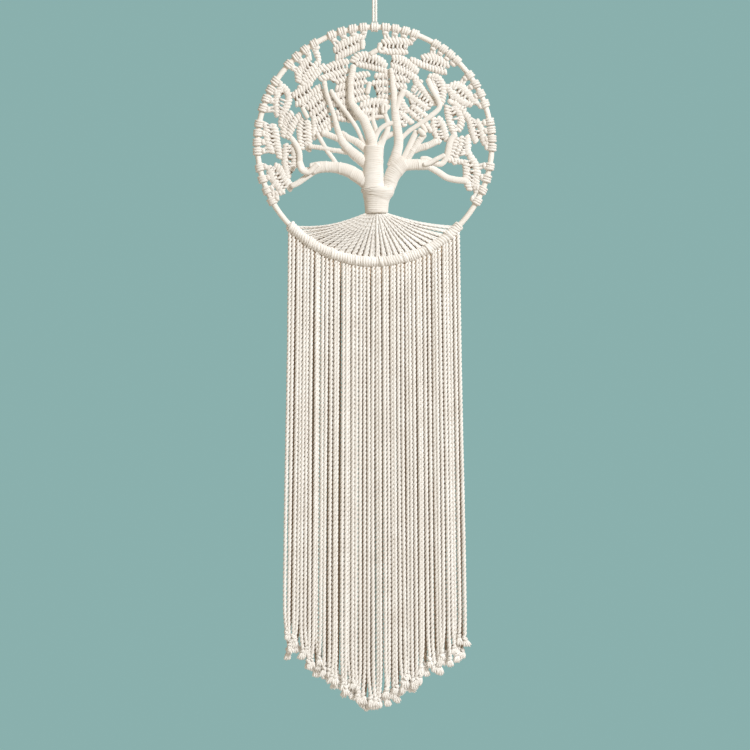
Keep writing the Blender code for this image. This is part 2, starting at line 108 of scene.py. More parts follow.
class Recipe:
    """A node tree that is being built."""

    def __init__(self, tree):
        self.tree = tree

    def feed(self, node, inputs):
        """Set a node's inputs; each is a value or the socket that feeds it."""
        for key, value in dict(inputs).items():
            if isinstance(value, bpy.types.NodeSocket):
                self.tree.links.new(value, node.inputs[key])
            else:
                node.inputs[key].default_value = value
        return node

    def node(self, kind, inputs=(), **settings):
        """Add one node."""
        node = self.tree.nodes.new(kind)
        for key, value in settings.items():
            setattr(node, key, value)
        return self.feed(node, inputs)

    def add(self, kind, inputs=(), **settings):
        """Add one node and give its first result."""
        return self.node(kind, inputs, **settings).outputs[0]

    def maths(self, operation, *values):
        """One maths node, for numbers."""
        return self.add("ShaderNodeMath", enumerate(values), operation=operation)

    def times(self, *values):
        """Numbers multiplied together."""
        product = values[0]
        for value in values[1:]:
            product = self.maths("MULTIPLY", product, value)
        return product

    def vector(self, operation, *values):
        """One maths node, for vectors."""
        return self.add("ShaderNodeVectorMath", enumerate(values), operation=operation)

    def point(self, x, y, z):
        """A vector made of three numbers."""
        return self.add("ShaderNodeCombineXYZ", {0: x, 1: y, 2: z})

    def parts(self, vector):
        """The three numbers of a vector."""
        return self.node("ShaderNodeSeparateXYZ", {0: vector}).outputs


print("a recipe can:", [name for name in vars(Recipe) if name[0] != "_"])

# %% [markdown]
# ## Camera, light and background
#
# The photograph looks level at the hanging from about three metres, so that is where the camera
# stands. Its lens follows from the scale: one pixel of the photograph is 1.25 mm on the work.
# A key lamp from the upper right, slightly cool, models the cords. A weak warm lamp fills from
# the left, a third one from behind draws the rims, and a warm sky softens the shadows. The camera
# sees a plain muted green instead of that sky. A pale floor lies below the hanging.

# %% Camera
PHOTO_PIXELS = 750
PIXEL = 1.25 * MM
RING_CENTRE_PIXEL = (374.6, 144.3)
CAMERA_DISTANCE = 3.0
SENSOR = 36.0

camera_data = bpy.data.cameras.new("camera")
camera_data.sensor_width = SENSOR
camera_data.lens = SENSOR * CAMERA_DISTANCE / (PHOTO_PIXELS * PIXEL)
camera = bpy.data.objects.new("camera", camera_data)
camera.location = RING_CENTRE + Vector((
    (PHOTO_PIXELS / 2 - RING_CENTRE_PIXEL[0]) * PIXEL,
    -CAMERA_DISTANCE,
    (RING_CENTRE_PIXEL[1] - PHOTO_PIXELS / 2) * PIXEL))
camera.rotation_euler = (math.radians(90), 0, 0)
bpy.context.scene.collection.objects.link(camera)
bpy.context.scene.camera = camera
print("camera lens", round(camera_data.lens, 1), "mm")

# %% Lamps
AIM = place(0, -250)
LAMPS = (
    # name, x, y, z from the aim in metres, size in metres, power in watts, colour
    ("key", 2.2, -2.6, 2.1, 0.8, 157, (0.95, 0.98, 1.0)),
    ("fill", -1.7, -1.8, 0.1, 1.6, 5, (1.0, 0.94, 0.84)),
    ("rim", 0.6, 1.6, 0.9, 1.0, 18, (1.0, 0.97, 0.92)),
)
for lamp_name, x, y, z, size, power, colour in LAMPS:
    lamp_data = bpy.data.lights.new(lamp_name, "AREA")
    lamp_data.size = size
    lamp_data.energy = power
    lamp_data.color = colour
    lamp = bpy.data.objects.new(lamp_name, lamp_data)
    lamp.location = AIM + Vector((x, y, z))
    lamp.rotation_euler = (AIM - lamp.location).to_track_quat("-Z", "Y").to_euler()
    bpy.context.scene.collection.objects.link(lamp)
print("lamps:", len(LAMPS))

# %% Background and floor
BACKGROUND = (0.255, 0.435, 0.42, 1)
SKY_LIGHT = (1.0, 0.86, 0.64, 1)
SKY_STRENGTH = 0.355
FLOOR_COLOUR = (0.72, 0.71, 0.69, 1)
FLOOR_RADIUS = 1.3
FLOOR_DROP = 0.42

world = bpy.data.worlds.new("studio")
world.use_nodes = True
bpy.context.scene.world = world
world.node_tree.nodes.clear()
sky = Recipe(world.node_tree)
soft = sky.add("ShaderNodeBackground", {"Color": SKY_LIGHT, "Strength": SKY_STRENGTH})
seen = sky.add("ShaderNodeBackground", {"Color": BACKGROUND})
camera_ray = sky.node("ShaderNodeLightPath").outputs["Is Camera Ray"]
either = sky.add("ShaderNodeMixShader", {0: camera_ray, 1: soft, 2: seen})
sky.node("ShaderNodeOutputWorld", {"Surface": either})
bpy.context.scene.view_settings.view_transform = "Standard"

bpy.ops.mesh.primitive_circle_add(
    vertices=96, radius=FLOOR_RADIUS, fill_type="NGON",
    location=(0, 0, cad_low.z - FLOOR_DROP))
floor = bpy.context.object
floor.name = "floor"
floor_paint = bpy.data.materials.new("floor")
floor_paint.use_nodes = True
Recipe(floor_paint.node_tree).feed(floor_paint.node_tree.nodes["Principled BSDF"],
                                   {"Base Color": FLOOR_COLOUR, "Roughness": 0.8})
floor.data.materials.append(floor_paint)
print("floor", FLOOR_DROP, "m under the fringe")

# %% [markdown]
# ## Cotton
#
# Soft cotton cord is almost white on its crests and a warm tan in the grooves, where less light
# gets in and the light that does is coloured by the fibres. That tan is painted shade, mixed into
# the base colour. Fine fibres run along every strand. Both effects are shared by all the finishes,
# so they are shader node groups. An image of cloth would stretch on thin curved cord, so each
# material reads two attributes that the Geometry Nodes below leave on the mesh, and hands them to
# the groups: `strand`, a place round and along the cord in metres, and `groove`, which is 0 on a
# crest and 1 deep between cords and sets how much painted shade a place gets.

# %% The fibre group


def shader_group(name, inputs, outputs):
    """An empty shader node group with named, typed sockets, and what it is given."""
    group = bpy.data.node_groups.new(name, "ShaderNodeTree")
    for label, kind, value in inputs:
        socket = group.interface.new_socket(label, in_out="INPUT", socket_type="NodeSocket" + kind)
        if value is not None:
            socket.default_value = value
    for label, kind in outputs:
        group.interface.new_socket(label, in_out="OUTPUT", socket_type="NodeSocket" + kind)
    recipe = Recipe(group)
    return recipe, recipe.node("NodeGroupInput").outputs


fibre_group, given = shader_group(
    "Cotton fibres",
    [("Strand", "Vector", None), ("Fibre Width", "Float", 0.35 * MM), ("Fibre Length", "Float", 4 * MM),
     ("Fuzz", "Float", 0.35)],
    [("Fibre", "Float"), ("Height", "Float")])
fibre_size = fibre_group.point(given["Fibre Width"], given["Fibre Width"], given["Fibre Length"])
stretched = fibre_group.vector("DIVIDE", given["Strand"], fibre_size)
fibres = fibre_group.add("ShaderNodeTexNoise",
                         {"Vector": stretched, "Scale": 1.0, "Detail": 2.0, "Roughness": 0.6})
tufts = fibre_group.add("ShaderNodeTexNoise",
                        {"Vector": stretched, "Scale": 0.35, "Detail": 3.0, "Distortion": 0.6})
height = fibre_group.add("ShaderNodeMix", {0: given["Fuzz"], 2: fibres, 3: tufts}, data_type="FLOAT")
fibre_group.node("NodeGroupOutput", {"Fibre": fibres, "Height": height})
print("group:", fibre_group.tree.name, "with", len(fibre_group.tree.nodes), "nodes")

# %% The shading group
shade_group, given = shader_group(
    "Cotton shade",
    [("Crest", "Color", (0.8, 0.74, 0.66, 1)), ("Painted Shade Colour", "Color", (0.4, 0.3, 0.2, 1)),
     ("Groove", "Float", 0.0), ("Fibre", "Float", 0.5), ("Place", "Vector", None)],
    [("Color", "Color")])
# Painted shade: the groove mask mixes the warm groove colour into the crest colour.
groove_shade_mask = shade_group.add("ShaderNodeMapRange",
                       {"Value": given["Groove"], "From Min": 0.3, "From Max": 1.0},
                       interpolation_type="SMOOTHSTEP")
handled = shade_group.add("ShaderNodeTexNoise", {"Vector": given["Place"], "Scale": 38.0, "Detail": 3.0})
tint = shade_group.add("ShaderNodeMapRange", {
    "Value": handled, "From Min": 0.3, "From Max": 0.7, "To Min": 0.0, "To Max": 0.16})
streak = shade_group.add("ShaderNodeMapRange", {
    "Value": given["Fibre"], "From Min": 0.35, "From Max": 0.62, "To Min": 0.14, "To Max": 0.0})
# Painted groove shade, random tone and fibre streaks, added up.
painted_shade_and_stain = shade_group.maths("ADD", shade_group.maths("ADD", groove_shade_mask, tint), streak)
painted_shade_and_stain = shade_group.maths("MINIMUM", painted_shade_and_stain, 1.0)
toned = shade_group.node("ShaderNodeMix", {0: painted_shade_and_stain, 6: given["Crest"], 7: given["Painted Shade Colour"]},
                         data_type="RGBA")
shade_group.node("NodeGroupOutput", {"Color": toned.outputs[2]})
print("group:", shade_group.tree.name, "with", len(shade_group.tree.nodes), "nodes")

# %% [markdown]
# ### The four finishes
#
# All the cotton is one kind, but it looks different by how it is used. Knotted cord is dense, the
# long ropes of the roots and the fringe are the whitest, and thread and the ring's winding have
# finer fibres and paler painted shade in their grooves. A finish is the same material each time
# with its own colours.

# %% The finishes


def cotton(name, crest, groove, fibre_width, fibre_length, bump):
    """A cotton finish made of the two groups; the last three sizes are in millimetres."""
    paint = bpy.data.materials.new(name)
    paint.use_nodes = True
    recipe = Recipe(paint.node_tree)
    strand = recipe.node("ShaderNodeAttribute", attribute_name="strand").outputs["Vector"]
    # How much painted shade each place gets.
    hollow = recipe.node("ShaderNodeAttribute", attribute_name="groove").outputs["Fac"]
    spot = recipe.node("ShaderNodeTexCoord").outputs["Object"]
    fibre = recipe.node("ShaderNodeGroup", {
        "Strand": strand, "Fibre Width": fibre_width * MM, "Fibre Length": fibre_length * MM,
    }, node_tree=fibre_group.tree).outputs
    colour = recipe.add("ShaderNodeGroup", {
        "Crest": (*crest, 1), "Painted Shade Colour": (*groove, 1), "Groove": hollow,
        "Fibre": fibre["Fibre"], "Place": spot}, node_tree=shade_group.tree)
    relief = recipe.add("ShaderNodeBump",
                        {"Strength": 0.8, "Distance": bump * MM, "Height": fibre["Height"]})
    recipe.feed(paint.node_tree.nodes["Principled BSDF"], {
        "Base Color": colour, "Normal": relief, "Roughness": 0.92, "Specular IOR Level": 0.2,
        "Sheen Weight": 0.25, "Sheen Roughness": 0.6})
    return paint


FINISHES = (
    # name, crest colour, colour of the painted groove shade, fibre width, fibre length, height of the fibres
    ("cord_cotton", (0.91, 0.88, 0.845), (0.34, 0.25, 0.17), 0.4, 5, 0.25),
    ("rope_cotton", (0.975, 0.955, 0.93), (0.42, 0.32, 0.23), 0.4, 5, 0.2),
    ("thread_cotton", (0.865, 0.835, 0.80), (0.56, 0.45, 0.34), 0.3, 3, 0.12),
    ("ring_cotton", (0.90, 0.87, 0.83), (0.66, 0.55, 0.44), 0.3, 3, 0.12),
)
cord_cotton, rope_cotton, thread_cotton, ring_cotton = [cotton(*finish) for finish in FINISHES]
print("finishes:", [finish[0] for finish in FINISHES])

# %% [markdown]
# ## From paths to cord
#
# A path is a chain of edges with a few named numbers on every point, such as how thick the cord is
# there. A tree turns the chains into curves, works along them, and ends in Realize Instances and
# Set Material. The result is kept as a plain mesh, and only the attributes that the cotton
# materials read stay on it. Curve objects with a bevel could make plain cord too, but they can't
# lay strands, lean a hitch or leave those attributes behind.

# %% Asking and changing geometry


class GeometryRecipe(Recipe):
    """A node tree for geometry: what it asks of each point, and what it changes there."""

    def scaled(self, vector, share):
        """A vector made longer or shorter."""
        return self.add("ShaderNodeVectorMath", {0: vector, "Scale": share}, operation="SCALE")

    def dot(self, one, other):
        """How far one vector goes in the direction of another."""
        node = self.node("ShaderNodeVectorMath", {0: one, 1: other}, operation="DOT_PRODUCT")
        return node.outputs["Value"]

    def position(self):
        """Where each point is."""
        return self.add("GeometryNodeInputPosition")

    def normal(self):
        """Which way each point faces."""
        return self.add("GeometryNodeInputNormal")

    def distance(self):
        """How far along its curve each point is."""
        return self.node("GeometryNodeSplineParameter").outputs["Length"]

    def stored(self, name, kind="FLOAT"):
        """Read an attribute."""
        return self.add("GeometryNodeInputNamedAttribute", {"Name": name}, data_type=kind)

    def store(self, geometry, name, value, kind="FLOAT"):
        """Write an attribute."""
        return self.add("GeometryNodeStoreNamedAttribute",
                        {"Geometry": geometry, "Name": name, "Value": value},
                        data_type=kind, domain="POINT")

    def move(self, geometry, position):
        """Put every point somewhere else."""
        return self.add("GeometryNodeSetPosition", {"Geometry": geometry, "Position": position})


print("a recipe for geometry can also:", [name for name in vars(GeometryRecipe) if name[0] != "_"])

# %% What the three patterns share


class Pattern(GeometryRecipe):
    """A Geometry Nodes tree that makes cord from paths; each point of a path has its columns."""

    def __init__(self, name, columns, sizes):
        super().__init__(bpy.data.node_groups.new(name, "GeometryNodeTree"))
        self.columns = columns
        face = self.tree.interface
        face.new_socket("Paths", in_out="INPUT", socket_type="NodeSocketGeometry")
        for label, value in sizes.items():
            kind = "NodeSocketInt" if isinstance(value, int) else "NodeSocketFloat"
            face.new_socket(label, in_out="INPUT", socket_type=kind).default_value = value
        face.new_socket("Cotton", in_out="INPUT", socket_type="NodeSocketMaterial")
        face.new_socket("Cord", in_out="OUTPUT", socket_type="NodeSocketGeometry")
        self.given = self.node("NodeGroupInput").outputs

    def lines(self, step):
        """The paths as curves with evenly spaced points, each of which keeps its place."""
        chain = self.add("GeometryNodeMeshToCurve", {"Mesh": self.given["Paths"]})
        line = self.add("GeometryNodeResampleCurve", {"Curve": chain, "Length": step}, mode="LENGTH")
        return self.store(line, "core", self.position(), "FLOAT_VECTOR")

    def circle(self, points):
        """A ring of points at a distance of 1."""
        return self.add("GeometryNodeCurvePrimitiveCircle", {"Resolution": points, "Radius": 1.0})

    def sweep(self, line, section, scale, closed=True):
        """A skin along a line."""
        return self.add("GeometryNodeCurveToMesh", {
            "Curve": line, "Profile Curve": section, "Scale": scale, "Fill Caps": closed})

    def spread(self):
        """From the middle of the cord to each point of its skin."""
        return self.vector("SUBTRACT", self.position(), self.stored("core", "FLOAT_VECTOR"))

    def flatten(self, skin, ratio):
        """Press a skin flat in depth, about the line it was swept along."""
        pressed = self.vector("MULTIPLY", self.spread(), self.point(1.0, ratio, 1.0))
        return self.move(skin, self.vector("ADD", self.stored("core", "FLOAT_VECTOR"), pressed))

    def store_strand(self, skin, start):
        """Keep each point's place round its cord, and along it from a start of its own."""
        across = self.scaled(self.stored("around", "FLOAT_VECTOR"), self.given["Cord Radius"])
        across_x, across_y, _ = self.parts(across)
        along = self.maths("ADD", self.stored("along"), self.stored(start))
        return self.store(skin, "strand", self.point(across_x, across_y, along), "FLOAT_VECTOR")

    def finish(self, geometry):
        """Make the result real, smooth it and give it its material."""
        real = self.add("GeometryNodeRealizeInstances", {"Geometry": geometry})
        smooth = self.add("GeometryNodeSetShadeSmooth", {"Geometry": real})
        painted = self.add("GeometryNodeSetMaterial",
                           {"Geometry": smooth, "Material": self.given["Cotton"]})
        self.node("NodeGroupOutput", {0: painted})
        return self


print("a pattern can also:", [name for name in vars(Pattern) if name[0] != "_"])

# %% From a path to a piece
triangles_of = {}
KEPT_ATTRIBUTES = ("strand", "groove", "position", "material_index", "sharp_face")
LENGTHS = ("cord_radius", "lay", "step", "pitch", "thread_pitch", "thread_height", "binding", "swelling")


def draw(name, paths, columns):
    """Paths as chains of edges: a row is a point in metres, then one number for each column."""
    chain = bpy.data.meshes.new(name)
    rows = [row for path in paths for row in path]
    edges = []
    first = 0
    for path in paths:
        edges.extend((first + k, first + k + 1) for k in range(len(path) - 1))
        first += len(path)
    chain.from_pydata([row[0] for row in rows], edges, [])
    for index, column in enumerate(columns, 1):
        layer = chain.attributes.new(column, "FLOAT", "POINT")
        layer.data.foreach_set("value", [float(row[index]) for row in rows])
    draft = bpy.data.objects.new(name + "_paths", chain)
    bpy.context.scene.collection.objects.link(draft)
    return draft


def weave(draft, pattern, finish, sizes):
    """What a pattern makes of a draft, as a plain mesh."""
    modifier = draft.modifiers.new(pattern.tree.name, "NODES")
    modifier.node_group = pattern.tree
    sockets = {item.name: item.identifier for item in pattern.tree.interface.items_tree
               if item.in_out == "INPUT"}
    modifier[sockets["Cotton"]] = finish
    for key, value in sizes.items():
        modifier[sockets[key.replace("_", " ").title()]] = value * MM if key in LENGTHS else value
    bpy.context.view_layer.update()
    mesh = bpy.data.meshes.new_from_object(draft.evaluated_get(bpy.context.evaluated_depsgraph_get()))
    bpy.data.objects.remove(draft)
    for extra in [layer.name for layer in mesh.attributes]:
        if extra not in KEPT_ATTRIBUTES and not extra.startswith("."):
            mesh.attributes.remove(mesh.attributes[extra])
    return mesh


def make(name, pattern, paths, finish, slot="cotton_cord", stands_for=(), **sizes):
    """Make one piece of the hanging; the sizes named in LENGTHS are given in millimetres."""
    mesh = weave(draw(name, paths, pattern.columns), pattern, finish, sizes)
    mesh.name = name
    piece = bpy.data.objects.new(name, mesh)
    bpy.context.scene.collection.objects.link(piece)
    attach(piece, "root")
    if stands_for:
        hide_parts(*stands_for)
    triangles_of[name] = sum(len(face.vertices) - 2 for face in mesh.polygons)
    print(f"{name}: {len(paths)} paths, {triangles_of[name]} triangles")
    return piece


print("given in millimetres:", LENGTHS)

# %% [markdown]
# ### Twisted cord
#
# Real macrame cord is a few strands laid together: three in the thin cords, two thick ones in the
# ropes of the roots and the fringe. Strands modelled one by one would cost far more faces, so the
# tree sweeps one section with a rounded lobe for each strand along the path and turns it steadily
# with the curve's tilt. A vertex then stays on one strand, and the fibres of the material follow
# the twist by themselves. The hollows between the lobes get painted shade. A cord that lies behind
# others gets painted shade too: its front side counts as deep in a groove.

# %% The twisted cord pattern
LOBE_ROUNDNESS = 0.5
SHELTER_SHADE_GAIN = 1.5


def twisted_cord():
    """A lobed section swept and turned along every path."""
    cord = Pattern("Twisted cord", ("girth", "phase"), {
        "Cord Radius": 2 * MM, "Lay": 18 * MM, "Strands": 3, "Groove": 0.3, "Flatness": 1.0,
        "Step": 2 * MM, "Section Points": 12, "Tone": 0.5, "Shelter": 0.0})
    line = cord.lines(cord.given["Step"])
    line = cord.store(line, "along", cord.distance())
    turns = cord.maths("DIVIDE", cord.distance(), cord.given["Lay"])
    tilt = cord.maths("ADD", cord.times(turns, math.tau), cord.stored("phase"))
    line = cord.add("GeometryNodeSetCurveTilt", {"Curve": line, "Tilt": tilt})

    lobes = cord.times(cord.add("GeometryNodeSplineParameter"), math.pi, cord.given["Strands"])
    crest = cord.maths("POWER", cord.maths("ABSOLUTE", cord.maths("COSINE", lobes)), LOBE_ROUNDNESS)
    hollow = cord.maths("SUBTRACT", 1.0, crest)
    rim = cord.maths("SUBTRACT", 1.0, cord.times(hollow, cord.given["Groove"]))
    section = cord.circle(cord.given["Section Points"])
    # Painted shade in the hollows between the strands.
    section = cord.store(section, "groove", cord.times(hollow, cord.given["Tone"]))
    section = cord.store(section, "around", cord.position(), "FLOAT_VECTOR")
    section = cord.move(section, cord.scaled(cord.position(), rim))

    skin = cord.sweep(line, section, cord.times(cord.stored("girth"), cord.given["Cord Radius"]))
    skin = cord.store_strand(cord.flatten(skin, cord.given["Flatness"]), "phase")
    # Painted shade on the front of a cord that lies behind others.
    towards_front = cord.maths("MAXIMUM", cord.times(cord.parts(cord.normal())[1], -SHELTER_SHADE_GAIN), 0.0)
    cover_shade = cord.times(towards_front, cord.given["Shelter"])
    deep = cord.maths("MINIMUM", cord.maths("MAXIMUM", cord.stored("groove"), cover_shade), 1.0)
    return cord.finish(cord.store(skin, "groove", deep))


TWISTED_CORD = twisted_cord()
print("pattern:", TWISTED_CORD.tree.name, "with", len(TWISTED_CORD.tree.nodes), "nodes")

# %% [markdown]
# ### Wraps
#
# A hitch and a lark's head are both short turns of cord round something. One long coil could make
# them, but it would be thin on a narrow row and thick on a wide one as soon as it is scaled. The
# tree puts a closed loop across the path at every step instead, as wide and as deep as the path
# says, leans and jitters it a little, and sweeps a round section along it at the end, so the cord
# is equally thick everywhere. A plain core fills the loops, as the cord does that they are tied
# over. The sides of each loop, where it meets the next, and the core get painted shade.

# %% The parts of a wrap
CORE_POINTS = 8
CORE_SHADE = 0.7


def loop_across(cord):
    """A closed, slightly boxy loop that stands across the path, with a reach and a depth of 1."""
    boxy = []
    for part in cord.parts(cord.position())[:2]:
        size = cord.maths("POWER", cord.maths("ABSOLUTE", part), cord.given["Squareness"])
        boxy.append(cord.times(cord.maths("SIGN", part), size))
    return cord.move(cord.circle(cord.given["Loop Points"]), cord.point(0.0, *boxy))


def filled_core(cord, line):
    """A plain core inside the loops, as wide and as deep as the path says."""
    filling = cord.sweep(line, cord.circle(CORE_POINTS), cord.times(cord.stored("reach"), cord.given["Core"]))
    filling = cord.flatten(filling, cord.maths("DIVIDE", cord.stored("depth"), cord.stored("reach")))
    # Painted shade: the core counts as deep in a groove.
    return cord.store(filling, "groove", CORE_SHADE)


print("a wrap is made by", loop_across.__name__, "and", filled_core.__name__)

# %% The wraps pattern
SIDE_SHADE = 0.66
SIDE_SHADE_EDGE = 2.5
LONGEST_OFFSET = 10.0


def wraps():
    """Loops of cord across every path, with a filled core inside them."""
    cord = Pattern("Wraps", ("reach", "depth", "slant"), {
        "Pitch": 3.6 * MM, "Cord Radius": 1.7 * MM, "Loop Points": 14, "Section Points": 6,
        "Squareness": 0.8, "Jitter": 0.08, "Unevenness": 0.08, "Core": 0.75, "Seed": 1})

    def chance(low, high, stream):
        """A random number for each loop, the same on every run."""
        seed = cord.maths("ADD", cord.given["Seed"], float(stream))
        return cord.node("FunctionNodeRandomValue", {2: low, 3: high, "Seed": seed},
                         data_type="FLOAT").outputs[1]

    less = cord.maths("MULTIPLY", cord.given["Jitter"], -1.0)
    shrink = cord.maths("SUBTRACT", 1.0, cord.given["Unevenness"])
    grow = cord.maths("ADD", 1.0, cord.given["Unevenness"])

    line = cord.lines(cord.given["Pitch"])
    facing = cord.add("FunctionNodeAxesToRotation",
                      {"Primary Axis": cord.add("GeometryNodeInputTangent"), "Secondary Axis": (0, -1, 0)},
                      primary_axis="X", secondary_axis="Z")
    nod = chance(less, cord.given["Jitter"], 0)
    lean = cord.maths("ADD", cord.stored("slant"), chance(less, cord.given["Jitter"], 1))
    turn = cord.add("FunctionNodeEulerToRotation", {0: cord.point(0.0, nod, lean)})
    turned = cord.add("FunctionNodeRotateRotation", {"Rotation": facing, "Rotate By": turn},
                      rotation_space="LOCAL")
    reach = cord.times(cord.stored("reach"), chance(shrink, grow, 2))
    depth = cord.times(cord.stored("depth"), chance(shrink, grow, 3))
    sideways = cord.add("FunctionNodeRotateVector", {"Vector": (1, 0, 0), "Rotation": turned})
    line = cord.store(line, "way", sideways, "FLOAT_VECTOR")
    line = cord.store(line, "swell", chance(shrink, grow, 1))
    line = cord.store(line, "offset", chance(0.0, LONGEST_OFFSET, 0))

    rings = cord.add("GeometryNodeInstanceOnPoints", {
        "Points": line, "Instance": loop_across(cord), "Rotation": turned,
        "Scale": cord.point(1.0, reach, depth)})
    rings = cord.add("GeometryNodeRealizeInstances", {"Geometry": rings})
    rings = cord.store(rings, "along", cord.distance())

    section = cord.circle(cord.given["Section Points"])
    section = cord.store(section, "around", cord.position(), "FLOAT_VECTOR")
    thick = cord.times(cord.stored("swell"), cord.given["Cord Radius"])
    skin = cord.sweep(rings, section, thick, closed=False)
    # Painted shade on the sides of each loop, where it meets the next one.
    side_on = cord.maths("ABSOLUTE", cord.dot(cord.normal(), cord.stored("way", "FLOAT_VECTOR")))
    hollow = cord.times(cord.maths("POWER", side_on, SIDE_SHADE_EDGE), SIDE_SHADE)
    skin = cord.store_strand(cord.store(skin, "groove", hollow), "offset")

    both = cord.tree.nodes.new("GeometryNodeJoinGeometry")
    for part in (skin, filled_core(cord, line)):
        cord.tree.links.new(part, both.inputs[0])
    return cord.finish(both.outputs[0])


WRAPS = wraps()
print("pattern:", WRAPS.tree.name, "with", len(WRAPS.tree.nodes), "nodes")

# %% [markdown]
# ### Limbs bound with thread
#
# The trunk and the branches are bundles bound closely with thread. The thread is thin, so it is
# shown as relief: the tree sweeps a round section as wide as the path says, flattens it in depth,
# and lifts it in ridges across the limb. The ridges lean a little and bow over the front, as
# thread does that is wound by hand. Now and then a new layer starts with a small step, and the
# bundle under them makes soft swellings. The hollows between the ridges get painted shade.
# Ridges that are wider apart make the band's hitches too.

# %% The bound limb pattern
RIDGE_ROUNDNESS = 0.7
WANDER = 1.8
WANDER_SCALE = 80.0
LAYER_EDGE = 0.15
LAYER_HEIGHT = 1.2
LUMP_SCALE = 130.0


def bound_limb():
    """A tapering bar with fine ridges of thread across it."""
    limb = Pattern("Bound limb", ("girth", "phase"), {
        "Thread Pitch": 2 * MM, "Thread Height": 0.3 * MM, "Lean": 0.2, "Bow": 0.5, "Flatness": 0.7,
        "Step": 0.5 * MM, "Section Points": 20, "Binding": 17 * MM, "Swelling": 0.3 * MM, "Tone": 0.7})
    line = limb.lines(limb.given["Step"])
    line = limb.store(line, "along", limb.distance())
    line = limb.store(line, "way", limb.add("GeometryNodeInputTangent"), "FLOAT_VECTOR")
    skin = limb.sweep(line, limb.circle(limb.given["Section Points"]), limb.stored("girth"))
    skin = limb.flatten(skin, limb.given["Flatness"])

    across = limb.vector("CROSS_PRODUCT", limb.stored("way", "FLOAT_VECTOR"), (0, 1, 0))
    sideways = limb.dot(limb.spread(), across)
    shifted = limb.maths("ADD", limb.stored("along"), limb.times(sideways, limb.given["Lean"]))
    shifted = limb.maths("ADD", shifted, limb.times(limb.parts(limb.spread())[1], limb.given["Bow"]))
    drift = limb.add("ShaderNodeTexNoise", {"Vector": limb.position(), "Scale": WANDER_SCALE, "Detail": 1.0})
    wander = limb.times(drift, limb.times(limb.given["Thread Pitch"], WANDER))
    thread = limb.maths("DIVIDE", limb.maths("ADD", shifted, wander), limb.given["Thread Pitch"])
    ridge = limb.maths("ABSOLUTE", limb.maths("SINE", limb.times(thread, math.pi)))
    crest = limb.maths("POWER", ridge, RIDGE_ROUNDNESS)

    start = limb.maths("FRACT", limb.maths("DIVIDE", shifted, limb.given["Binding"]))
    layer = limb.add("ShaderNodeMapRange", {
        "Value": start, "From Min": 0.0, "From Max": LAYER_EDGE, "To Min": 1.0, "To Max": 0.0})
    lift = limb.maths("ADD", limb.times(crest, limb.given["Thread Height"]),
                      limb.times(layer, limb.times(limb.given["Thread Height"], LAYER_HEIGHT)))
    lumps = limb.add("ShaderNodeTexNoise", {"Vector": limb.position(), "Scale": LUMP_SCALE, "Detail": 0.0})
    swell = limb.times(limb.maths("MULTIPLY_ADD", lumps, 2.0, -1.0), limb.given["Swelling"])
    raised = limb.scaled(limb.normal(), limb.maths("ADD", lift, swell))

    # Painted shade in the hollows between the ridges of thread.
    skin = limb.store(skin, "groove", limb.times(limb.maths("SUBTRACT", 1.0, crest), limb.given["Tone"]))
    strand = limb.point(shifted, limb.stored("phase"), sideways)
    skin = limb.store(skin, "strand", strand, "FLOAT_VECTOR")
    return limb.finish(limb.add("GeometryNodeSetPosition", {"Geometry": skin, "Offset": raised}))


BOUND_LIMB = bound_limb()
print("pattern:", BOUND_LIMB.tree.name, "with", len(BOUND_LIMB.tree.nodes), "nodes")

# %% [markdown]
# ### Smooth paths
#
# Soft cord bends gently, so a few given points are enough for each path, and a spline is
# drawn through them. It carries every number of a row along, such as a limb's width, so a taper
# is as smooth as the bend. A curve object could do the same, but plain rows can be measured,
# rounded off at their ends and moved in depth before they become cord.

# %% Helpers for smooth paths
ROUNDED_TIP = 0.05


def smooth(rows, pieces):
    """Rows of numbers on a smooth curve through the given rows (a Catmull-Rom spline)."""
    padded = [rows[0], *rows, rows[-1]]
    out = []
    for a, b, c, d in zip(padded, padded[1:], padded[2:], padded[3:]):
        for k in range(pieces):
            t = k / pieces
            out.append([0.5 * (2 * q + (r - p) * t + (2 * p - 5 * q + 4 * r - s) * t * t
                               + (3 * q - p - 3 * r + s) * t ** 3) for p, q, r, s in zip(a, b, c, d)])
    out.append(list(rows[-1]))
    return out


def ease(share):
    """From 0 to 1 with a soft start and a soft stop."""
    return share * share * (3 - 2 * share)


def travelled(rows):
    """How far along the way each row's point (its first two numbers) lies."""
    way = [0.0]
    for before, after in zip(rows, rows[1:]):
        way.append(way[-1] + math.hypot(after[0] - before[0], after[1] - before[1]))
    return way


def round_ends(rows, radius):
    """For each row, how much of the full width is left as the ends are rounded off."""
    way = travelled(rows)
    shares = []
    for far in way:
        left = min(1.0, min(far, way[-1] - far) / radius)
        shares.append(max(ROUNDED_TIP, math.sqrt(1 - (1 - left) ** 2)))
    return shares


print("a spline through three points, in steps:", smooth([(0, 0), (1, 1), (2, 0)], 2))

# %% [markdown]
# ## The hanging cord
#
# A doubled cord holds the ring, and its eye goes over a nail. It is the only free cord, so it is
# made first. It is pulled straight by the weight below it: two legs
# side by side, a neck where they part, and half a circle over the nail.

# %% The hanging cord
HANGER_RADIUS = 1.6
LEG_X = 1.75
EYE_RADIUS = 6.6
EYE_NECK = 18.0
LEG_STEPS = 4
NECK_STEPS = 6
CROWN_STEPS = 8
hanger_low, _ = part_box("hanger")


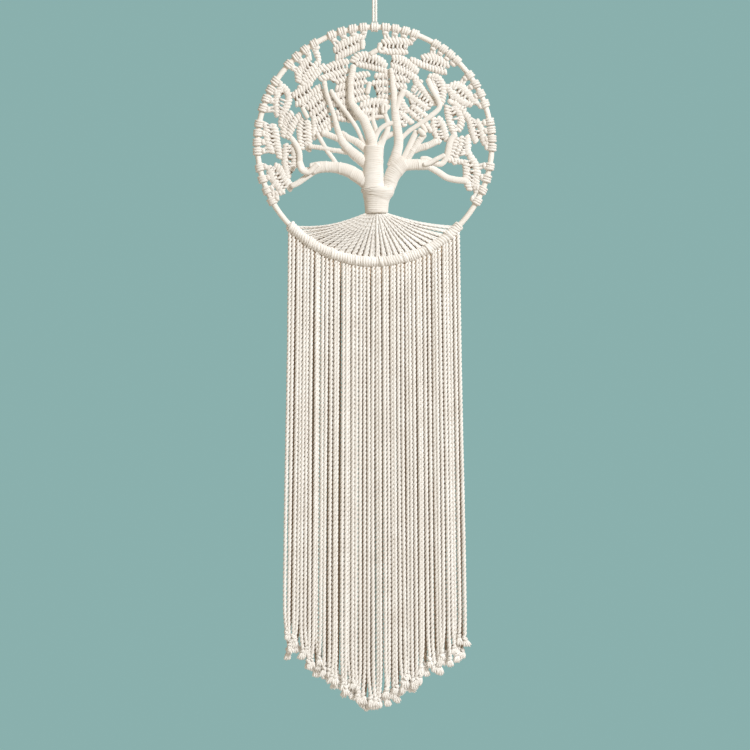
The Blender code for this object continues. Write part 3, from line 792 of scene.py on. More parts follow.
def hanger_route():
    """Up one leg, round the nail and down the other leg, in millimetres."""
    foot_z = hanger_low.z / MM
    eye_z = HANGER_RADIUS - EYE_RADIUS
    neck_z = eye_z - EYE_NECK
    leg = [(LEG_X, foot_z + (neck_z - foot_z) * k / LEG_STEPS) for k in range(LEG_STEPS + 1)]
    for k in range(1, NECK_STEPS):
        share = k / NECK_STEPS
        leg.append((LEG_X + (EYE_RADIUS - LEG_X) * ease(share), neck_z + EYE_NECK * share))
    crown = []
    for k in range(CROWN_STEPS + 1):
        turn = math.pi * k / CROWN_STEPS
        crown.append((EYE_RADIUS * math.cos(turn), eye_z + EYE_RADIUS * math.sin(turn)))
    return [Vector((x, 0, z)) * MM for x, z in leg + crown + [(-x, z) for x, z in reversed(leg)]]


route = hanger_route()
hanging_cord = make("hanging_cord", TWISTED_CORD, [[(point, 1.0, 0.0) for point in route]],
                    rope_cotton, stands_for=["hanger"],
                    cord_radius=HANGER_RADIUS, lay=14, groove=0.14, step=1.2, tone=0.2)

# %% [markdown]
# ## The ring
#
# The ring is closely wound with thin cord, which shows as faint ridges between the knots. A torus
# with a bump texture could do, but the ridges catch the light at the ring's outline, so they are
# real ones, made by the same pattern as the limbs.

# %% The wound ring
RING_STEPS = 120
WINDING_SINK = 0.2

winding = [(on_ring(360 * k / RING_STEPS), RING_TUBE - WINDING_SINK * MM, 0.0)
           for k in range(RING_STEPS + 1)]
make("wound_ring", BOUND_LIMB, [winding], ring_cotton, "hoop_wrap", ["hoop"],
     thread_pitch=2.3, thread_height=0.14, flatness=1.0, step=0.57, section_points=12,
     lean=0.3, bow=0.0, binding=60, swelling=0.1, tone=0.35)

# %% [markdown]
# ## Layout of the leaves
#
# A leaf is a few rows of hitches side by side, and one, two or more leaves are knotted as a group.
# The outer groups hang on the ring by lark's heads. The rows were set out one by one over the
# photograph, since no rule gives where the maker turned the work.

# %% Layout of the leaves
Row = namedtuple("Row", "width points")
LeafGroup = namedtuple("LeafGroup", "name knot_span leaves")


def row(width, *points):
    """One row of hitches: its width, and the points of its middle line."""
    return Row(width, points)


# The knot span is the arc of the ring, in degrees from +X, that carries the group's knots; inner
# groups have none. A leaf is a few rows of hitches side by side; each row has its width and then
# its points (x, z), in millimetres from the ring's centre.
LEAF_GROUPS = (
    LeafGroup("leaves_top_left", (95.5, 111.5), (
        (row(11, (-49.5, 118), (-42, 124), (-31, 130), (-21, 133.5), (-14.5, 133)),
         row(11, (-47, 108.5), (-38.5, 113), (-28.5, 117.5), (-18.5, 123), (-14, 126.5))),
        (row(10.25, (-63.5, 92.5), (-54.5, 98), (-44.5, 101.5), (-34.5, 103.5)),
         row(10.25, (-67, 81.5), (-56, 85.5), (-44.5, 89.5), (-33.5, 92.5)),
         row(10, (-47, 78), (-40, 80.5), (-31, 83))),
    )),
    LeafGroup("leaves_upper_left", (121.0, 137.0), (
        (row(11, (-95, 79), (-95, 88), (-89.5, 97.5), (-81, 108.5)),
         row(10.25, (-89.5, 76.5), (-84.5, 85), (-77.5, 93.5), (-70, 103)),
         row(9.5, (-81, 78), (-75, 85.5), (-69.5, 91.5), (-63.5, 97.5))),
        (row(8.75, (-76, 120.5), (-72.5, 114), (-70, 105.5)),),
        (row(8.5, (-93, 71.5), (-85, 78.5)),),
    )),
    LeafGroup("leaves_inner_left", None, (
        (row(10.25, (-101, 61.5), (-93.5, 66.5), (-86, 71.5), (-79.5, 76.5)),
         row(11, (-97, 50.5), (-88.5, 55), (-79.5, 61.5), (-68.5, 71)),
         row(10.25, (-83.5, 46), (-77, 52.5), (-70, 58.5), (-63.5, 65.5)),
         row(9.5, (-79.5, 37.5), (-72, 42.5), (-64.5, 49), (-59.5, 55.5)),
         row(9.5, (-76, 26), (-67, 34), (-58.5, 42.5)),
         row(8.75, (-72, 16.5), (-62.5, 25), (-54.5, 32.5)),
         row(8.75, (-67, 11.5), (-60, 17.5), (-53.5, 24))),
        (row(8.75, (-76.5, 34), (-75, 24), (-76, 15.5), (-74.5, 8)),),
    )),
    LeafGroup("leaves_left", (147.5, 162.0), (
        (row(9.5, (-117, 73), (-121.5, 61.5), (-123, 49), (-121.5, 36.5)),
         row(10.25, (-114, 71.5), (-107.5, 61.5), (-108.5, 51.5), (-113.5, 39))),
        (row(8.75, (-112, 41.5), (-116, 33), (-117.5, 23)),
         row(10.25, (-104, 38.5), (-109.5, 29), (-113, 20), (-114, 10.5)),
         row(10, (-93.5, 36.5), (-99.5, 28.5), (-104.5, 18.5), (-108.5, 9))),
    )),
    LeafGroup("leaves_mid_left", (170.0, 183.5), (
        (row(10.25, (-136.5, 25.5), (-134.5, 15), (-133.5, 4), (-128.5, -9.5)),
         row(10.25, (-126.5, 23.5), (-123.5, 14), (-122, 1.5), (-119, -16))),
    )),
    LeafGroup("leaves_low_left_inner", None, (
        (row(10.25, (-111, -1.5), (-111.5, -12), (-112, -23.5), (-107.5, -41)),
         row(10.25, (-103.5, -2), (-100, -11), (-100, -22), (-103.5, -31.5))),
    )),
    LeafGroup("leaves_low_left", (191.5, 209.0), (
        (row(11.5, (-132, -29.5), (-128.5, -39), (-123.5, -48.5), (-115, -58.5)),
         row(11.5, (-123.5, -27.5), (-117, -33.5), (-111.5, -43.5), (-104.5, -55))),
        (row(8.75, (-131, -62.5), (-123.5, -61.5), (-114.5, -59.5)),),
    )),
    LeafGroup("leaves_centre_left", None, (
        (row(9.5, (-90, 30.5), (-93.5, 20.5), (-93, 8), (-91, -4.5)),
         row(10.5, (-83.5, 28), (-82.5, 16.5), (-82.5, 4), (-83, -6.5))),
    )),
    LeafGroup("leaves_crown_left", None, (
        (row(11.5, (-47, 70), (-41, 71.5), (-31, 74)),
         row(10.25, (-53, 59.5), (-42, 62), (-31, 64.5)),
         row(9.75, (-50, 50), (-39.5, 53), (-30, 55.5)),
         row(9.5, (-42, 44), (-36, 46), (-27.5, 48)),
         row(9.25, (-37, 37), (-31, 38.5), (-22.5, 40.5)),
         row(8.5, (-32, 30), (-27, 32), (-20, 33.5))),
        (row(8, (-60, 63), (-53, 60)),
         row(7.25, (-57, 55.5), (-52, 53))),
        (row(8.5, (-51.5, 41), (-41, 38)),
         row(8.5, (-48.5, 33), (-37, 31))),
    )),
    LeafGroup("leaves_crown", None, (
        (row(11, (-27, 104), (-21, 110), (-11.5, 111.5), (-2, 109), (6.5, 105), (13.5, 98)),
         row(9.5, (-22, 100.5), (-12, 98.5), (-2, 96), (8, 93.5), (16.5, 90))),
        (row(10, (-29, 83), (-19.5, 86), (-8.5, 88)),
         row(9.5, (-29, 73.5), (-21, 76), (-12, 78.5)),
         row(9.5, (-29, 64), (-21, 66), (-12.5, 67)),
         row(9.25, (-28.5, 54), (-18.5, 57), (-9, 60))),
        (row(9.5, (2, 85.5), (18, 86)),
         row(9.25, (-1.5, 76.5), (18, 77)),
         row(9, (4, 68), (19, 67.5)),
         row(9, (5.5, 59.5), (19, 59))),
        (row(11, (-16.5, 49), (-7, 52.5), (4, 54), (15.5, 51.5)),
         row(10.25, (-14.5, 41.5), (-4.5, 41.5), (5.5, 42.5), (14, 44)),
         row(8, (-10, 34), (-1, 33), (8, 35))),
    )),
    LeafGroup("leaves_top_right", (70.0, 84.5), (
        (row(11.25, (12, 127.5), (20, 129), (28.5, 129), (36.5, 128.5), (45, 128)),
         row(10.25, (11.5, 116.5), (19, 116), (27.5, 115.5), (39, 116))),
        (row(11, (24, 108), (33, 106.5), (43, 100.5), (53, 91.5)),
         row(10.25, (22.5, 98.5), (31, 94.5), (40.5, 90), (53, 81.5)),
         row(9.5, (24, 84), (33, 82.5), (41.5, 80)),
         row(9.5, (24, 73), (31.5, 73), (38, 72.5)),
         row(9.5, (26.5, 61.5), (33, 62.5), (39, 66))),
    )),
    LeafGroup("leaves_inner_right", None, (
        (row(10.5, (51.5, 79), (59, 69), (68, 58.5), (76.5, 50.5)),
         row(10.25, (40.5, 63.5), (48, 58), (56.5, 52), (66.5, 45)),
         row(9.5, (48, 48), (55, 42), (63, 36)),
         row(8.75, (44, 41.5), (50, 35), (56.5, 30))),
        (row(10, (32, 58.5), (35.5, 49), (41.5, 41)),
         row(9.5, (32, 40.5), (38.5, 33), (46, 27)),
         row(8.5, (30, 30.5), (37, 24))),
        (row(7.25, (48, 68), (51.5, 74), (58, 78.5)),),
        (row(8.75, (60.5, 29), (65.5, 23), (70.5, 16.5)),),
    )),
    LeafGroup("leaves_upper_right", (45.5, 58.5), (
        (row(11.25, (61, 108), (70.5, 109), (79, 106), (90.5, 100)),
         row(10.5, (46.5, 105), (56.5, 100.5), (66.5, 97), (77.5, 93.5), (88, 90.5))),
        (row(9.5, (69, 85), (78, 84), (84, 76.5), (86.5, 65.5), (83.5, 51.5)),
         row(7.25, (73, 78), (76.5, 68), (81, 56.5))),
        (row(8, (91.5, 98), (96.5, 101.5)),),
    )),
    LeafGroup("leaves_right", (20.0, 36.0), (
        (row(11, (95.5, 73.5), (104, 74), (113, 67.5), (120.5, 58.5), (126.5, 51.5)),
         row(11.25, (90.5, 73), (97.5, 63.5), (105, 57), (112.5, 51.5), (120.5, 50)),
         row(9.5, (96.5, 54), (104, 47.5), (111.5, 42.5))),
    )),
    LeafGroup("leaves_right_inner", None, (
        (row(10.5, (91, 46.5), (92.5, 35.5), (95, 25.5), (99, 14)),
         row(10.25, (100.5, 46.5), (106.5, 37.5), (108.5, 28), (105, 18.5))),
        (row(9.5, (73.5, 31), (74, 21.5), (76, 12.5), (81, 3)),
         row(10.25, (79.5, 32), (85, 24.5), (87.5, 15.5), (90, 6))),
    )),
    LeafGroup("leaves_mid_right", (-1.5, 11.0), (
        (row(10.25, (111.5, 39), (118.5, 30.5), (121.5, 18), (126.5, 4)),
         row(10.25, (128, 28.5), (133, 20.5), (134.5, 11.5), (137.5, 1.5))),
    )),
    LeafGroup("leaves_low_right_inner", None, (
        (row(9.5, (103.5, 6.5), (99, -4), (94, -16)),
         row(8, (108.5, 8), (108, -1), (103, -13.5), (100.5, -23.5)),
         row(10.25, (115.5, 9), (116.5, -1), (116, -9.5), (121.5, -17))),
        (row(8.75, (89, -18.5), (98, -20), (109, -22)),),
    )),
    LeafGroup("leaves_low_right", (-29.0, -11.0), (
        (row(11, (114, -22), (115, -33.5), (115.5, -44.5), (118.5, -56)),
         row(11, (121, -17), (126.5, -27), (128, -38.5), (126, -49.5), (128, -59.5))),
    )),
)
print("leaf groups:", len(LEAF_GROUPS), "leaves:", sum(len(g.leaves) for g in LEAF_GROUPS),
      "rows:", sum(len(leaf) for g in LEAF_GROUPS for leaf in g.leaves))

# %% [markdown]
# ## The knots on the ring
#
# Each working cord is hung on the ring with a lark's head: three turns over the ring, a pad of
# cord under them where the loop pulls tight, and two ends that run inwards to the nearest row of
# hitches. A knot modelled once and copied would look stamped, so each is made afresh with small
# random leans: the turns are wraps along a very short piece of the ring, the rest twisted cord.

# %% Helpers for lark's heads
LARK_REACH = RING_TUBE / MM + 1.0
LARK_LEAN = 0.12
TURN_GAP = 1.16
TURN_GAP_RANGE = (0.95, 1.08)
PAD_DEPTH = 7.0
PAD_FRONT = -2.4
PAD_SPREAD = 1.5
PAD_SLOPE = 0.4
PAD_CURL = 1.2
PAD_TAPER = 0.8
PAD_SHARES = (-1, -0.85, -0.5, 0, 0.5, 0.85, 1)
LEAD_PLACE = 0.75
LEAD_FRONT = -1.0
LEAD_FOOT = -0.6
LEAD_SPLAY = 0.6
LEAD_SLACK = 0.6
LEAD_BULGE = 0.4
LEAD_REACH = 24.0
LEAD_PHASE = 0.3


def nearest_on_rows(group, x, z):
    """The point of a group's rows that is nearest to a place, and how far off it is."""
    spots = [spot for leaf in group.leaves for each in leaf for spot in smooth(each.points, 8)]
    best = min(spots, key=lambda spot: math.hypot(spot[0] - x, spot[1] - z))
    return best, math.hypot(best[0] - x, best[1] - z)


def larks_head(middle, rng):
    """A knot's three turns over the ring, and the pad under them; middle is its angle."""
    lean = rng.uniform(-LARK_LEAN, LARK_LEAN)
    gap = TURN_GAP * rng.uniform(*TURN_GAP_RANGE)
    turns = [(on_ring(middle + gap * side), LARK_REACH * MM, LARK_REACH * MM, lean) for side in (-1, 0, 1)]
    pad = []
    for share in PAD_SHARES:
        spot = on_ring(middle + PAD_SPREAD * share, PAD_DEPTH + PAD_SLOPE * share,
                       PAD_FRONT + PAD_CURL * abs(share))
        pad.append((spot, math.sqrt(1 - PAD_TAPER * share ** 4), rng.random()))
    return turns, pad


def leading_cord(group, middle, side, rng):
    """One end of a knot, from its pad to the nearest row of hitches."""
    head = on_ring(middle + side * LEAD_PLACE, PAD_DEPTH, LEAD_FRONT)
    off = (head - RING_CENTRE) / MM
    (foot_x, foot_z), gap = nearest_on_rows(group, off.x, off.z)
    share = min(1.0, LEAD_REACH / gap)
    foot = place(off.x + (foot_x - off.x) * share, off.z + (foot_z - off.z) * share, LEAD_FOOT)
    foot += (head - on_ring(middle, PAD_DEPTH)) * LEAD_SPLAY
    slack = Vector((rng.uniform(-LEAD_SLACK, LEAD_SLACK), -LEAD_BULGE, rng.uniform(-LEAD_SLACK, LEAD_SLACK)))
    belly = (head + foot) / 2 + slack * MM
    return [(head, 1.0, rng.random()), (belly, 1.0, LEAD_PHASE), (foot, 1.0, LEAD_PHASE)]


print("a lark's head winds", round(LARK_REACH, 2), "mm from the middle of the ring's tube")

# %% Lark's heads, pads and leading cords
KNOTS_IN_A_GROUP = 4

lark_turns = []
pads = []
leads = []
rng = random.Random(11)
for group in LEAF_GROUPS:
    if not group.knot_span:
        continue
    start, end = group.knot_span
    for k in range(KNOTS_IN_A_GROUP):
        middle = start + (end - start) * k / (KNOTS_IN_A_GROUP - 1)
        turns, pad = larks_head(middle, rng)
        lark_turns.append(turns)
        pads.append(pad)
        leads.extend(leading_cord(group, middle, side, rng) for side in (-1, 1))
make("larks_head_turns", WRAPS, lark_turns, cord_cotton, pitch=2.7, cord_radius=1.75, squareness=0.95,
     jitter=0.05, unevenness=0.04, core=0.6, loop_points=16, section_points=8, seed=3)
make("larks_head_pads", TWISTED_CORD, pads, cord_cotton, cord_radius=2.5, lay=60, strands=2,
     groove=0.08, step=1, section_points=12)
make("leading_cords", TWISTED_CORD, leads, cord_cotton, cord_radius=2.0, lay=22, groove=0.16,
     step=1.6, section_points=9)

# %% [markdown]
# ## The leaves
#
# A leaf is a few rows of double half hitches side by side. Every hitch is a turn over the bearing
# cord, so a row looks like a small wound bar, and the turns of one leaf all slant the same way.
# A plate with a bump texture could stand for it, but its outline would be smooth, so every row is
# a path of its own for the wraps pattern.
# Between two rows the cords cross a narrow slit: one layer of short cords in front, and one behind
# it whose front is painted with shade, so that the slit reads as a line of short dark marks.

# %% Helpers for rows of hitches
SLIT = 0.3
HITCH_CORD = 2.55
HITCH_DEPTH = 1.4
HITCH_TIP = 1.6
TIP_DEPTH = 0.75
TIP_REACH = 0.7
LEAST_REACH = 0.5
LINK_PITCH = 4.2
LINK_PITCH_RANGE = (0.85, 1.15)
LINK_START = 0.35
LINK_STOP = 0.4
LINK_CLEAR = 1.5
LINK_FROM = 0.2
LINK_PHASE = 0.5
LINK_LAYERS = (
    # how far it is moved on along the row, its depth, how much more than the rows it may bridge
    (0.0, -1.7, 7.0),
    (LINK_PITCH / 2, 1.6, 3.5),
)


def hitch_row(each, slant):
    """The middle line of a row, with its reach drawn in at the ends."""
    spots = smooth(each.points, 6)
    reach = ((each.width - SLIT) / 2 - HITCH_CORD) / math.cos(slant)
    path = []
    for (x, z), share in zip(spots, round_ends(spots, HITCH_TIP)):
        wide = max(LEAST_REACH, reach * max(TIP_REACH, share))
        deep = HITCH_DEPTH * MM * (TIP_DEPTH + (1 - TIP_DEPTH) * share)
        path.append((place(x, z), wide * MM, deep, slant))
    return path


def links_between(upper, lower, rng):
    """Short cords that cross the slit between two rows: in front, and half a step on behind."""
    spots = smooth(upper.points, 12)
    others = smooth(lower.points, 12)
    way = travelled(spots)
    links = ([], [])
    wanted = LINK_START * LINK_PITCH
    for (x, z), far in zip(spots, way):
        if far < wanted or far > way[-1] - LINK_STOP * LINK_PITCH:
            continue
        wanted = far + LINK_PITCH * rng.uniform(*LINK_PITCH_RANGE)
        to_x, to_z = min(others, key=lambda spot: math.hypot(spot[0] - x, spot[1] - z))
        gap = math.hypot(to_x - x, to_z - z)
        for layer, (shift, depth, spare) in zip(links, LINK_LAYERS):
            if far + shift < way[-1] - LINK_CLEAR and gap < (upper.width + lower.width) / 2 + spare:
                from_x = x + shift * (to_z - z) / gap
                from_z = z - shift * (to_x - x) / gap
                ends = [place(from_x + (to_x - x) * share, from_z + (to_z - z) * share, depth)
                        for share in (LINK_FROM, 1 - LINK_FROM)]
                layer.append([(ends[0], 1.0, rng.random()), (ends[1], 1.0, LINK_PHASE)])
    return links


print("a hitch reaches", round(HITCH_DEPTH + HITCH_CORD, 2), "mm in front of its row's middle line")

# %% The leaves
STEEPNESS = (0.36, 0.6)

front_links = []
back_links = []
for index, group in enumerate(LEAF_GROUPS):
    rng = random.Random(100 + index)
    hitches = []
    for leaf in group.leaves:
        lean = rng.choice((-1, 1))
        hitches.extend(hitch_row(each, lean * rng.uniform(*STEEPNESS)) for each in leaf)
        for upper, lower in zip(leaf, leaf[1:]):
            across, behind = links_between(upper, lower, rng)
            front_links.extend(across)
            back_links.extend(behind)
    make(group.name + "_hitches", WRAPS, hitches, cord_cotton, stands_for=[group.name],
         pitch=3.7, cord_radius=HITCH_CORD, squareness=0.8, jitter=0.1, unevenness=0.05,
         core=0.72, section_points=8, seed=10 + index)
make("cords_between_rows", TWISTED_CORD, front_links, cord_cotton, cord_radius=1.7, lay=30,
     groove=0.05, step=3, section_points=8)
# The cords behind get painted shade on their fronts.
make("cords_behind_rows", TWISTED_CORD, back_links, cord_cotton, cord_radius=1.8, lay=30,
     groove=0.05, step=3, section_points=8, shelter=1.0)

# %% [markdown]
# ## The tree
#
# The trunk, the limbs and the branches are bundles of the same cords on their way down. A smooth
# curve is drawn through each limb's few points, so that it bends like soft rope and not like
# wire. The trunk and its limbs keep one depth, and a branch starts sunk in what carries it and
# comes forward to ride over the leaves. Some bundles are bound closely with thread, and the others
# are a few laid cords that show only faint ridges, so the same pattern makes both. Thread wound
# turn by turn would be too fine to see at this size.

# %% Layout of the limbs
Limb = namedtuple("Limb", "name depth points")
TRUNK_DEPTH = -6.0

# Point columns: x, z, width, in millimetres. A depth of None lets a limb ride over the leaves.
LIMBS = (
    Limb("collar", TRUNK_DEPTH, ((2.5, -87, 28), (2.5, -70, 31.5), (3.8, -58.5, 41.5), (3.5, -54.5, 38))),
    Limb("trunk", TRUNK_DEPTH, ((-1.5, -58, 29), (-2, -38, 26), (-1.5, -20, 24.5), (-0.5, -2, 24))),
    Limb("limb_right", TRUNK_DEPTH,
         ((12.5, -64, 12), (16.5, -58, 15), (22, -40, 19), (30, -28, 21), (38, -22, 20))),
    Limb("limb_left", TRUNK_DEPTH,
         ((-3, -61, 14), (-11, -48, 17), (-25, -38, 16), (-37, -32, 15), (-53, -29, 13),
          (-68, -29, 14), (-80, -32, 14))),
    Limb("branch_left_up", -4.0,
         ((-79, -33, 9), (-89, -33, 9), (-93, -23, 7.5), (-94, -11, 7), (-98, -1, 7), (-105, 9, 6))),
    Limb("branch_left_low", None, ((-74, -34, 8), (-86, -42, 8), (-96, -49, 8), (-105, -53, 7.5))),
    Limb("branch_second", None,
         ((-8, -27, 15), (-23, -15, 14), (-33, -6, 12), (-41, 4, 10), (-46, 17, 8), (-50, 32, 6),
          (-55, 48, 6), (-60, 63, 6), (-63, 79, 6))),
    Limb("branch_fork", None, ((-9, -9, 10), (-22, 2, 9), (-32, 7, 8), (-42, 15, 6))),
    Limb("branch_thin", None,
         ((-7, -6, 6), (-15, 5, 6), (-22, 19, 6), (-31, 33, 6), (-42, 48, 6), (-50, 59, 6), (-55, 68, 6))),
    Limb("branch_crown", None,
         ((-3, -5, 15), (-5, 8, 14), (-9, 19, 13), (-13, 29, 12), (-22, 41, 11), (-29, 52, 9),
          (-30, 64, 8), (-30, 78, 8), (-28, 89, 8), (-26, 99, 8))),
    Limb("branch_crown_right", None,
         ((21, -29, 14), (28, -10, 13), (30, 5, 12), (27, 28, 11), (25, 47, 9), (24, 64, 8),
          (22, 80, 6), (20, 95, 5))),
    Limb("branch_twist", None,
         ((7, -5, 9), (10.5, 4, 8), (15, 14, 7.5), (17, 24, 7), (15, 31.5, 6.5), (12.3, 39, 6.5))),
    Limb("branch_hook", None,
         ((31, 4, 6), (43, 16, 6), (55, 24, 6.5), (69, 34, 7), (80, 44, 7), (80, 53, 7.5), (72, 68, 7.5),
          (66, 82, 8))),
    Limb("branch_back", None, ((34, -23, 8), (42, -6, 8), (48, 7, 8), (53, 17, 8))),
    Limb("branch_front", None, ((38, -24, 8), (46, -11, 8), (55, 3, 8), (63, 13, 8))),
    Limb("bough_right", TRUNK_DEPTH, ((36, -26, 15), (49, -26, 13), (62, -26, 13), (70, -27, 11))),
    Limb("branch_right_up", None,
         ((57, -18, 5), (65, -18, 6), (74, -23, 8), (83, -25, 8), (89, -18, 8), (92, -7, 9), (95, 4, 9),
          (102, 13, 8))),
    Limb("branch_right_low", None,
         ((67, -28, 9), (79, -35, 9), (90, -42, 9), (102, -45, 9), (116, -46, 9))),
    Limb("branch_short", None, ((47, -9, 9), (57, -5, 9), (67, -2, 9), (79, 4, 9))),
    Limb("twig_1", None, ((-34, -4, 8), (-43, 5, 8), (-55, 10, 8), (-67, 15, 8))),
    Limb("twig_2", None, ((-33, -10, 8), (-50, -8, 6), (-66, -5, 6), (-83, -3, 6))),
    Limb("twig_3", None, ((-45, -29, 6), (-53, -17, 6), (-61, -7, 6))),
    Limb("twig_4", None, ((-72, 14, 6), (-66, 3, 6), (-61, -6, 6))),
    Limb("twig_5", None, ((-1.5, 40, 5), (-2, 30, 6), (1, 20, 6), (2, 12, 5))),
)
print("limbs:", len(LIMBS), "of which keep one depth:", sum(limb.depth is not None for limb in LIMBS))

# %% The limbs
LIMB_FLATNESS = 0.7
LEAF_FRONT = -2.8
START_DEPTH = TRUNK_DEPTH + 1.5
SINK_LENGTH = 16.0
SLIMMING = 0.9
CUT_END = 1.5
ROUND_END = 0.42
THREAD_LEANS = (-0.12, 0.16)
PHASE_STEP = 0.37
# The limbs in BOUND show turns of thread. Those in ALL_THREAD are thread, the rest cord.
BOUND = ("collar", "trunk", "limb_right", "limb_left", "bough_right", "branch_second", "branch_fork",
         "branch_crown", "branch_crown_right", "branch_short", "branch_front", "twig_1", "twig_2")
ALL_THREAD = ("collar", "trunk", "limb_right", "limb_left", "bough_right", "branch_second",
              "branch_short")
# The last number of each look sets how much painted shade lies between the ridges.
BOUND_LOOK = {"thread_pitch": 2.3, "thread_height": 0.46, "section_points": 18, "swelling": 0.35,
              "tone": 0.8}
LAID_LOOK = {"thread_pitch": 1.7, "thread_height": 0.14, "section_points": 14, "swelling": 0.15,
             "tone": 0.4}


def limb_path(limb, phase):
    """A limb's middle line and half width; its end is rounded, its start sunk in what carries it."""
    rows = smooth(limb.points, 30)
    rides = limb.depth is None
    tip = ROUND_END * limb.points[-1][2] if rides else CUT_END
    path = []
    for (x, z, width), far, share in zip(rows, travelled(rows), round_ends(rows, tip)):
        y = limb.depth
        if rides:
            clear = LEAF_FRONT - width / 2 * LIMB_FLATNESS
            y = START_DEPTH + (clear - START_DEPTH) * ease(min(1.0, far / SINK_LENGTH))
        slim = SLIMMING if rides else 1.0
        path.append((place(x, z, y), width / 2 * slim * share * MM, phase))
    return path


for index, limb in enumerate(LIMBS):
    make(limb.name + "_bound", BOUND_LIMB, [limb_path(limb, index * PHASE_STEP)], thread_cotton,
         "wrapping_thread" if limb.name in ALL_THREAD else "cotton_cord", [limb.name],
         flatness=LIMB_FLATNESS, step=0.5, lean=THREAD_LEANS[index % 2], bow=0.4,
         **(BOUND_LOOK if limb.name in BOUND else LAID_LOOK))

# %% [markdown]
# ## Loose strips among the leaves
#
# Here and there a cord lies over the work or crosses a gap: bars between two leaves, the loops
# beside the crown, the folded cord at its heart. They are few and all different, so each is one
# row of a table, and they are made like the thin branches, with the faintest ridges.

# %% Loose strips
Strip = namedtuple("Strip", "width depth points")

# Width, depth of the middle, then the points (x, z), in millimetres.
STRIPS = (
    Strip(5.5, -5.0, ((-90.5, 46.5), (-87, 39), (-83, 31.5))),
    Strip(5.5, -11.3, ((60, -26), (67, -25), (76, -20), (88, -14))),
    Strip(6.0, -3.6, ((-6, 78), (-7.5, 71), (-9.5, 62))),
    Strip(7.0, -6.4, ((25.5, 38), (31, 56), (37, 68))),
    Strip(6.0, -3.0, ((-15.5, 130), (-15, 118))),
    Strip(6.0, -3.0, ((6.5, 127), (7, 119))),
    Strip(6.5, -2.5, ((-6, 111.5), (-1, 115), (5, 118))),
    Strip(6.5, -12.0, ((-95, -22), (-91.5, -32.5), (-83, -36), (-75, -29.5), (-69.5, -24.5))),
    Strip(4.5, -2.0, ((137, 31), (137, 24))),
    Strip(4.5, -2.0, ((140.5, 21), (140.5, 13))),
    Strip(4.5, -2.0, ((141, 4), (141, -5))),
    Strip(6.5, -2.6, ((92, 56), (97, 50))),
    Strip(4.6, -4.6, ((-8, 29.5), (-2.5, 32.5), (4, 34), (14.5, 34))),
    Strip(5.8, -7.0, ((-0.5, -2), (1.5, 8), (5.5, 16.5), (11, 21.5), (19, 25), (27, 27))),
    Strip(6.6, -5.0, ((4, -3), (11.5, 6), (21, 12), (29, 14))),
    Strip(4.5, -3.0, ((6.5, 4), (14, 16))),
    Strip(4.0, -6.6, ((10.6, 37.5), (9.8, 43), (10.4, 47.5), (12.2, 49), (13.9, 47), (14.2, 42),
                      (12.9, 37.5))),
    Strip(4.8, -5.6, ((15, 42.5), (17, 46), (18, 49))),
    Strip(6.6, -8.5, ((53.8, 17.8), (57.8, 15), (61, 11.5), (62, 9))),
    Strip(5.5, -5.0, ((57.5, 25), (61.5, 20), (64.5, 13.5))),
    Strip(4.4, -4.0, ((7, 124), (5, 119.5), (8, 115), (12, 117), (11, 121.5))),
)
STRIP_END = 0.4
STRIP_PHASE = 0.2

strips = []
for strip in STRIPS:
    rows = smooth(strip.points, 20)
    strips.append([(place(x, z, strip.depth), strip.width / 2 * share * MM, STRIP_PHASE)
                   for (x, z), share in zip(rows, round_ends(rows, strip.width * STRIP_END))])
make("loose_strips", BOUND_LIMB, strips, thread_cotton, thread_pitch=1.7, thread_height=0.1,
     flatness=0.75, step=0.7, section_points=12, swelling=0.15, tone=0.3)

# %% [markdown]
# ## The rim of the collar
#
# Where the trunk and the limbs leave the collar, a few turns of thread stand out as a rim. They go
# round all of the bundles, dip at the sides and lie lower on the left, so each turn is a path
# worked out from its height, and the collar's own ridges go on below it.

# %% The rim
RIM_CENTRE = (3.7, -6.0)
RIM_HALF_WIDTH = 20.6
RIM_WIDEST_Z = -58
RIM_TAPER = 0.42
RIM_STEPS = 48
RIM_TURNS = (
    # height at the front, drop at the sides, how much lower the left side is
    (-54.6, 2.4, 0.2),
    (-56.4, 1.6, 1.2),
    (-58.2, 0.6, 1.6),
)


def rim_turn(front_z, drop, tilt):
    """One turn of thread round the top of the collar."""
    path = []
    for k in range(RIM_STEPS + 1):
        turn = math.tau * k / RIM_STEPS
        height = front_z - drop * math.cos(turn) ** 2 + tilt * (math.cos(turn) - 1) / 2
        width = RIM_HALF_WIDTH - RIM_TAPER * abs(height - RIM_WIDEST_Z)
        x = RIM_CENTRE[0] + width * math.cos(turn)
        y = RIM_CENTRE[1] + width * LIMB_FLATNESS * math.sin(turn)
        path.append((place(x, height, y), 1.0, 0.0))
    return path


make("collar_rim", TWISTED_CORD, [rim_turn(*turn) for turn in RIM_TURNS], thread_cotton,
     "wrapping_thread", cord_radius=0.85, lay=30, strands=2, groove=0.05, step=1.5,
     section_points=8, tone=0.0)

# %% [markdown]
# ## The roots
#
# Below the collar the cords part again, and each one runs as a root to the lower arc of the ring.
# They lie in two layers: the front ones touch in pairs, and deeper ones show as shade between
# them. Outer roots are thinner and sag a little, as slack cord does. They could be listed one by
# one like the limbs, but what counts is that the fan opens evenly, so a loop works them out.

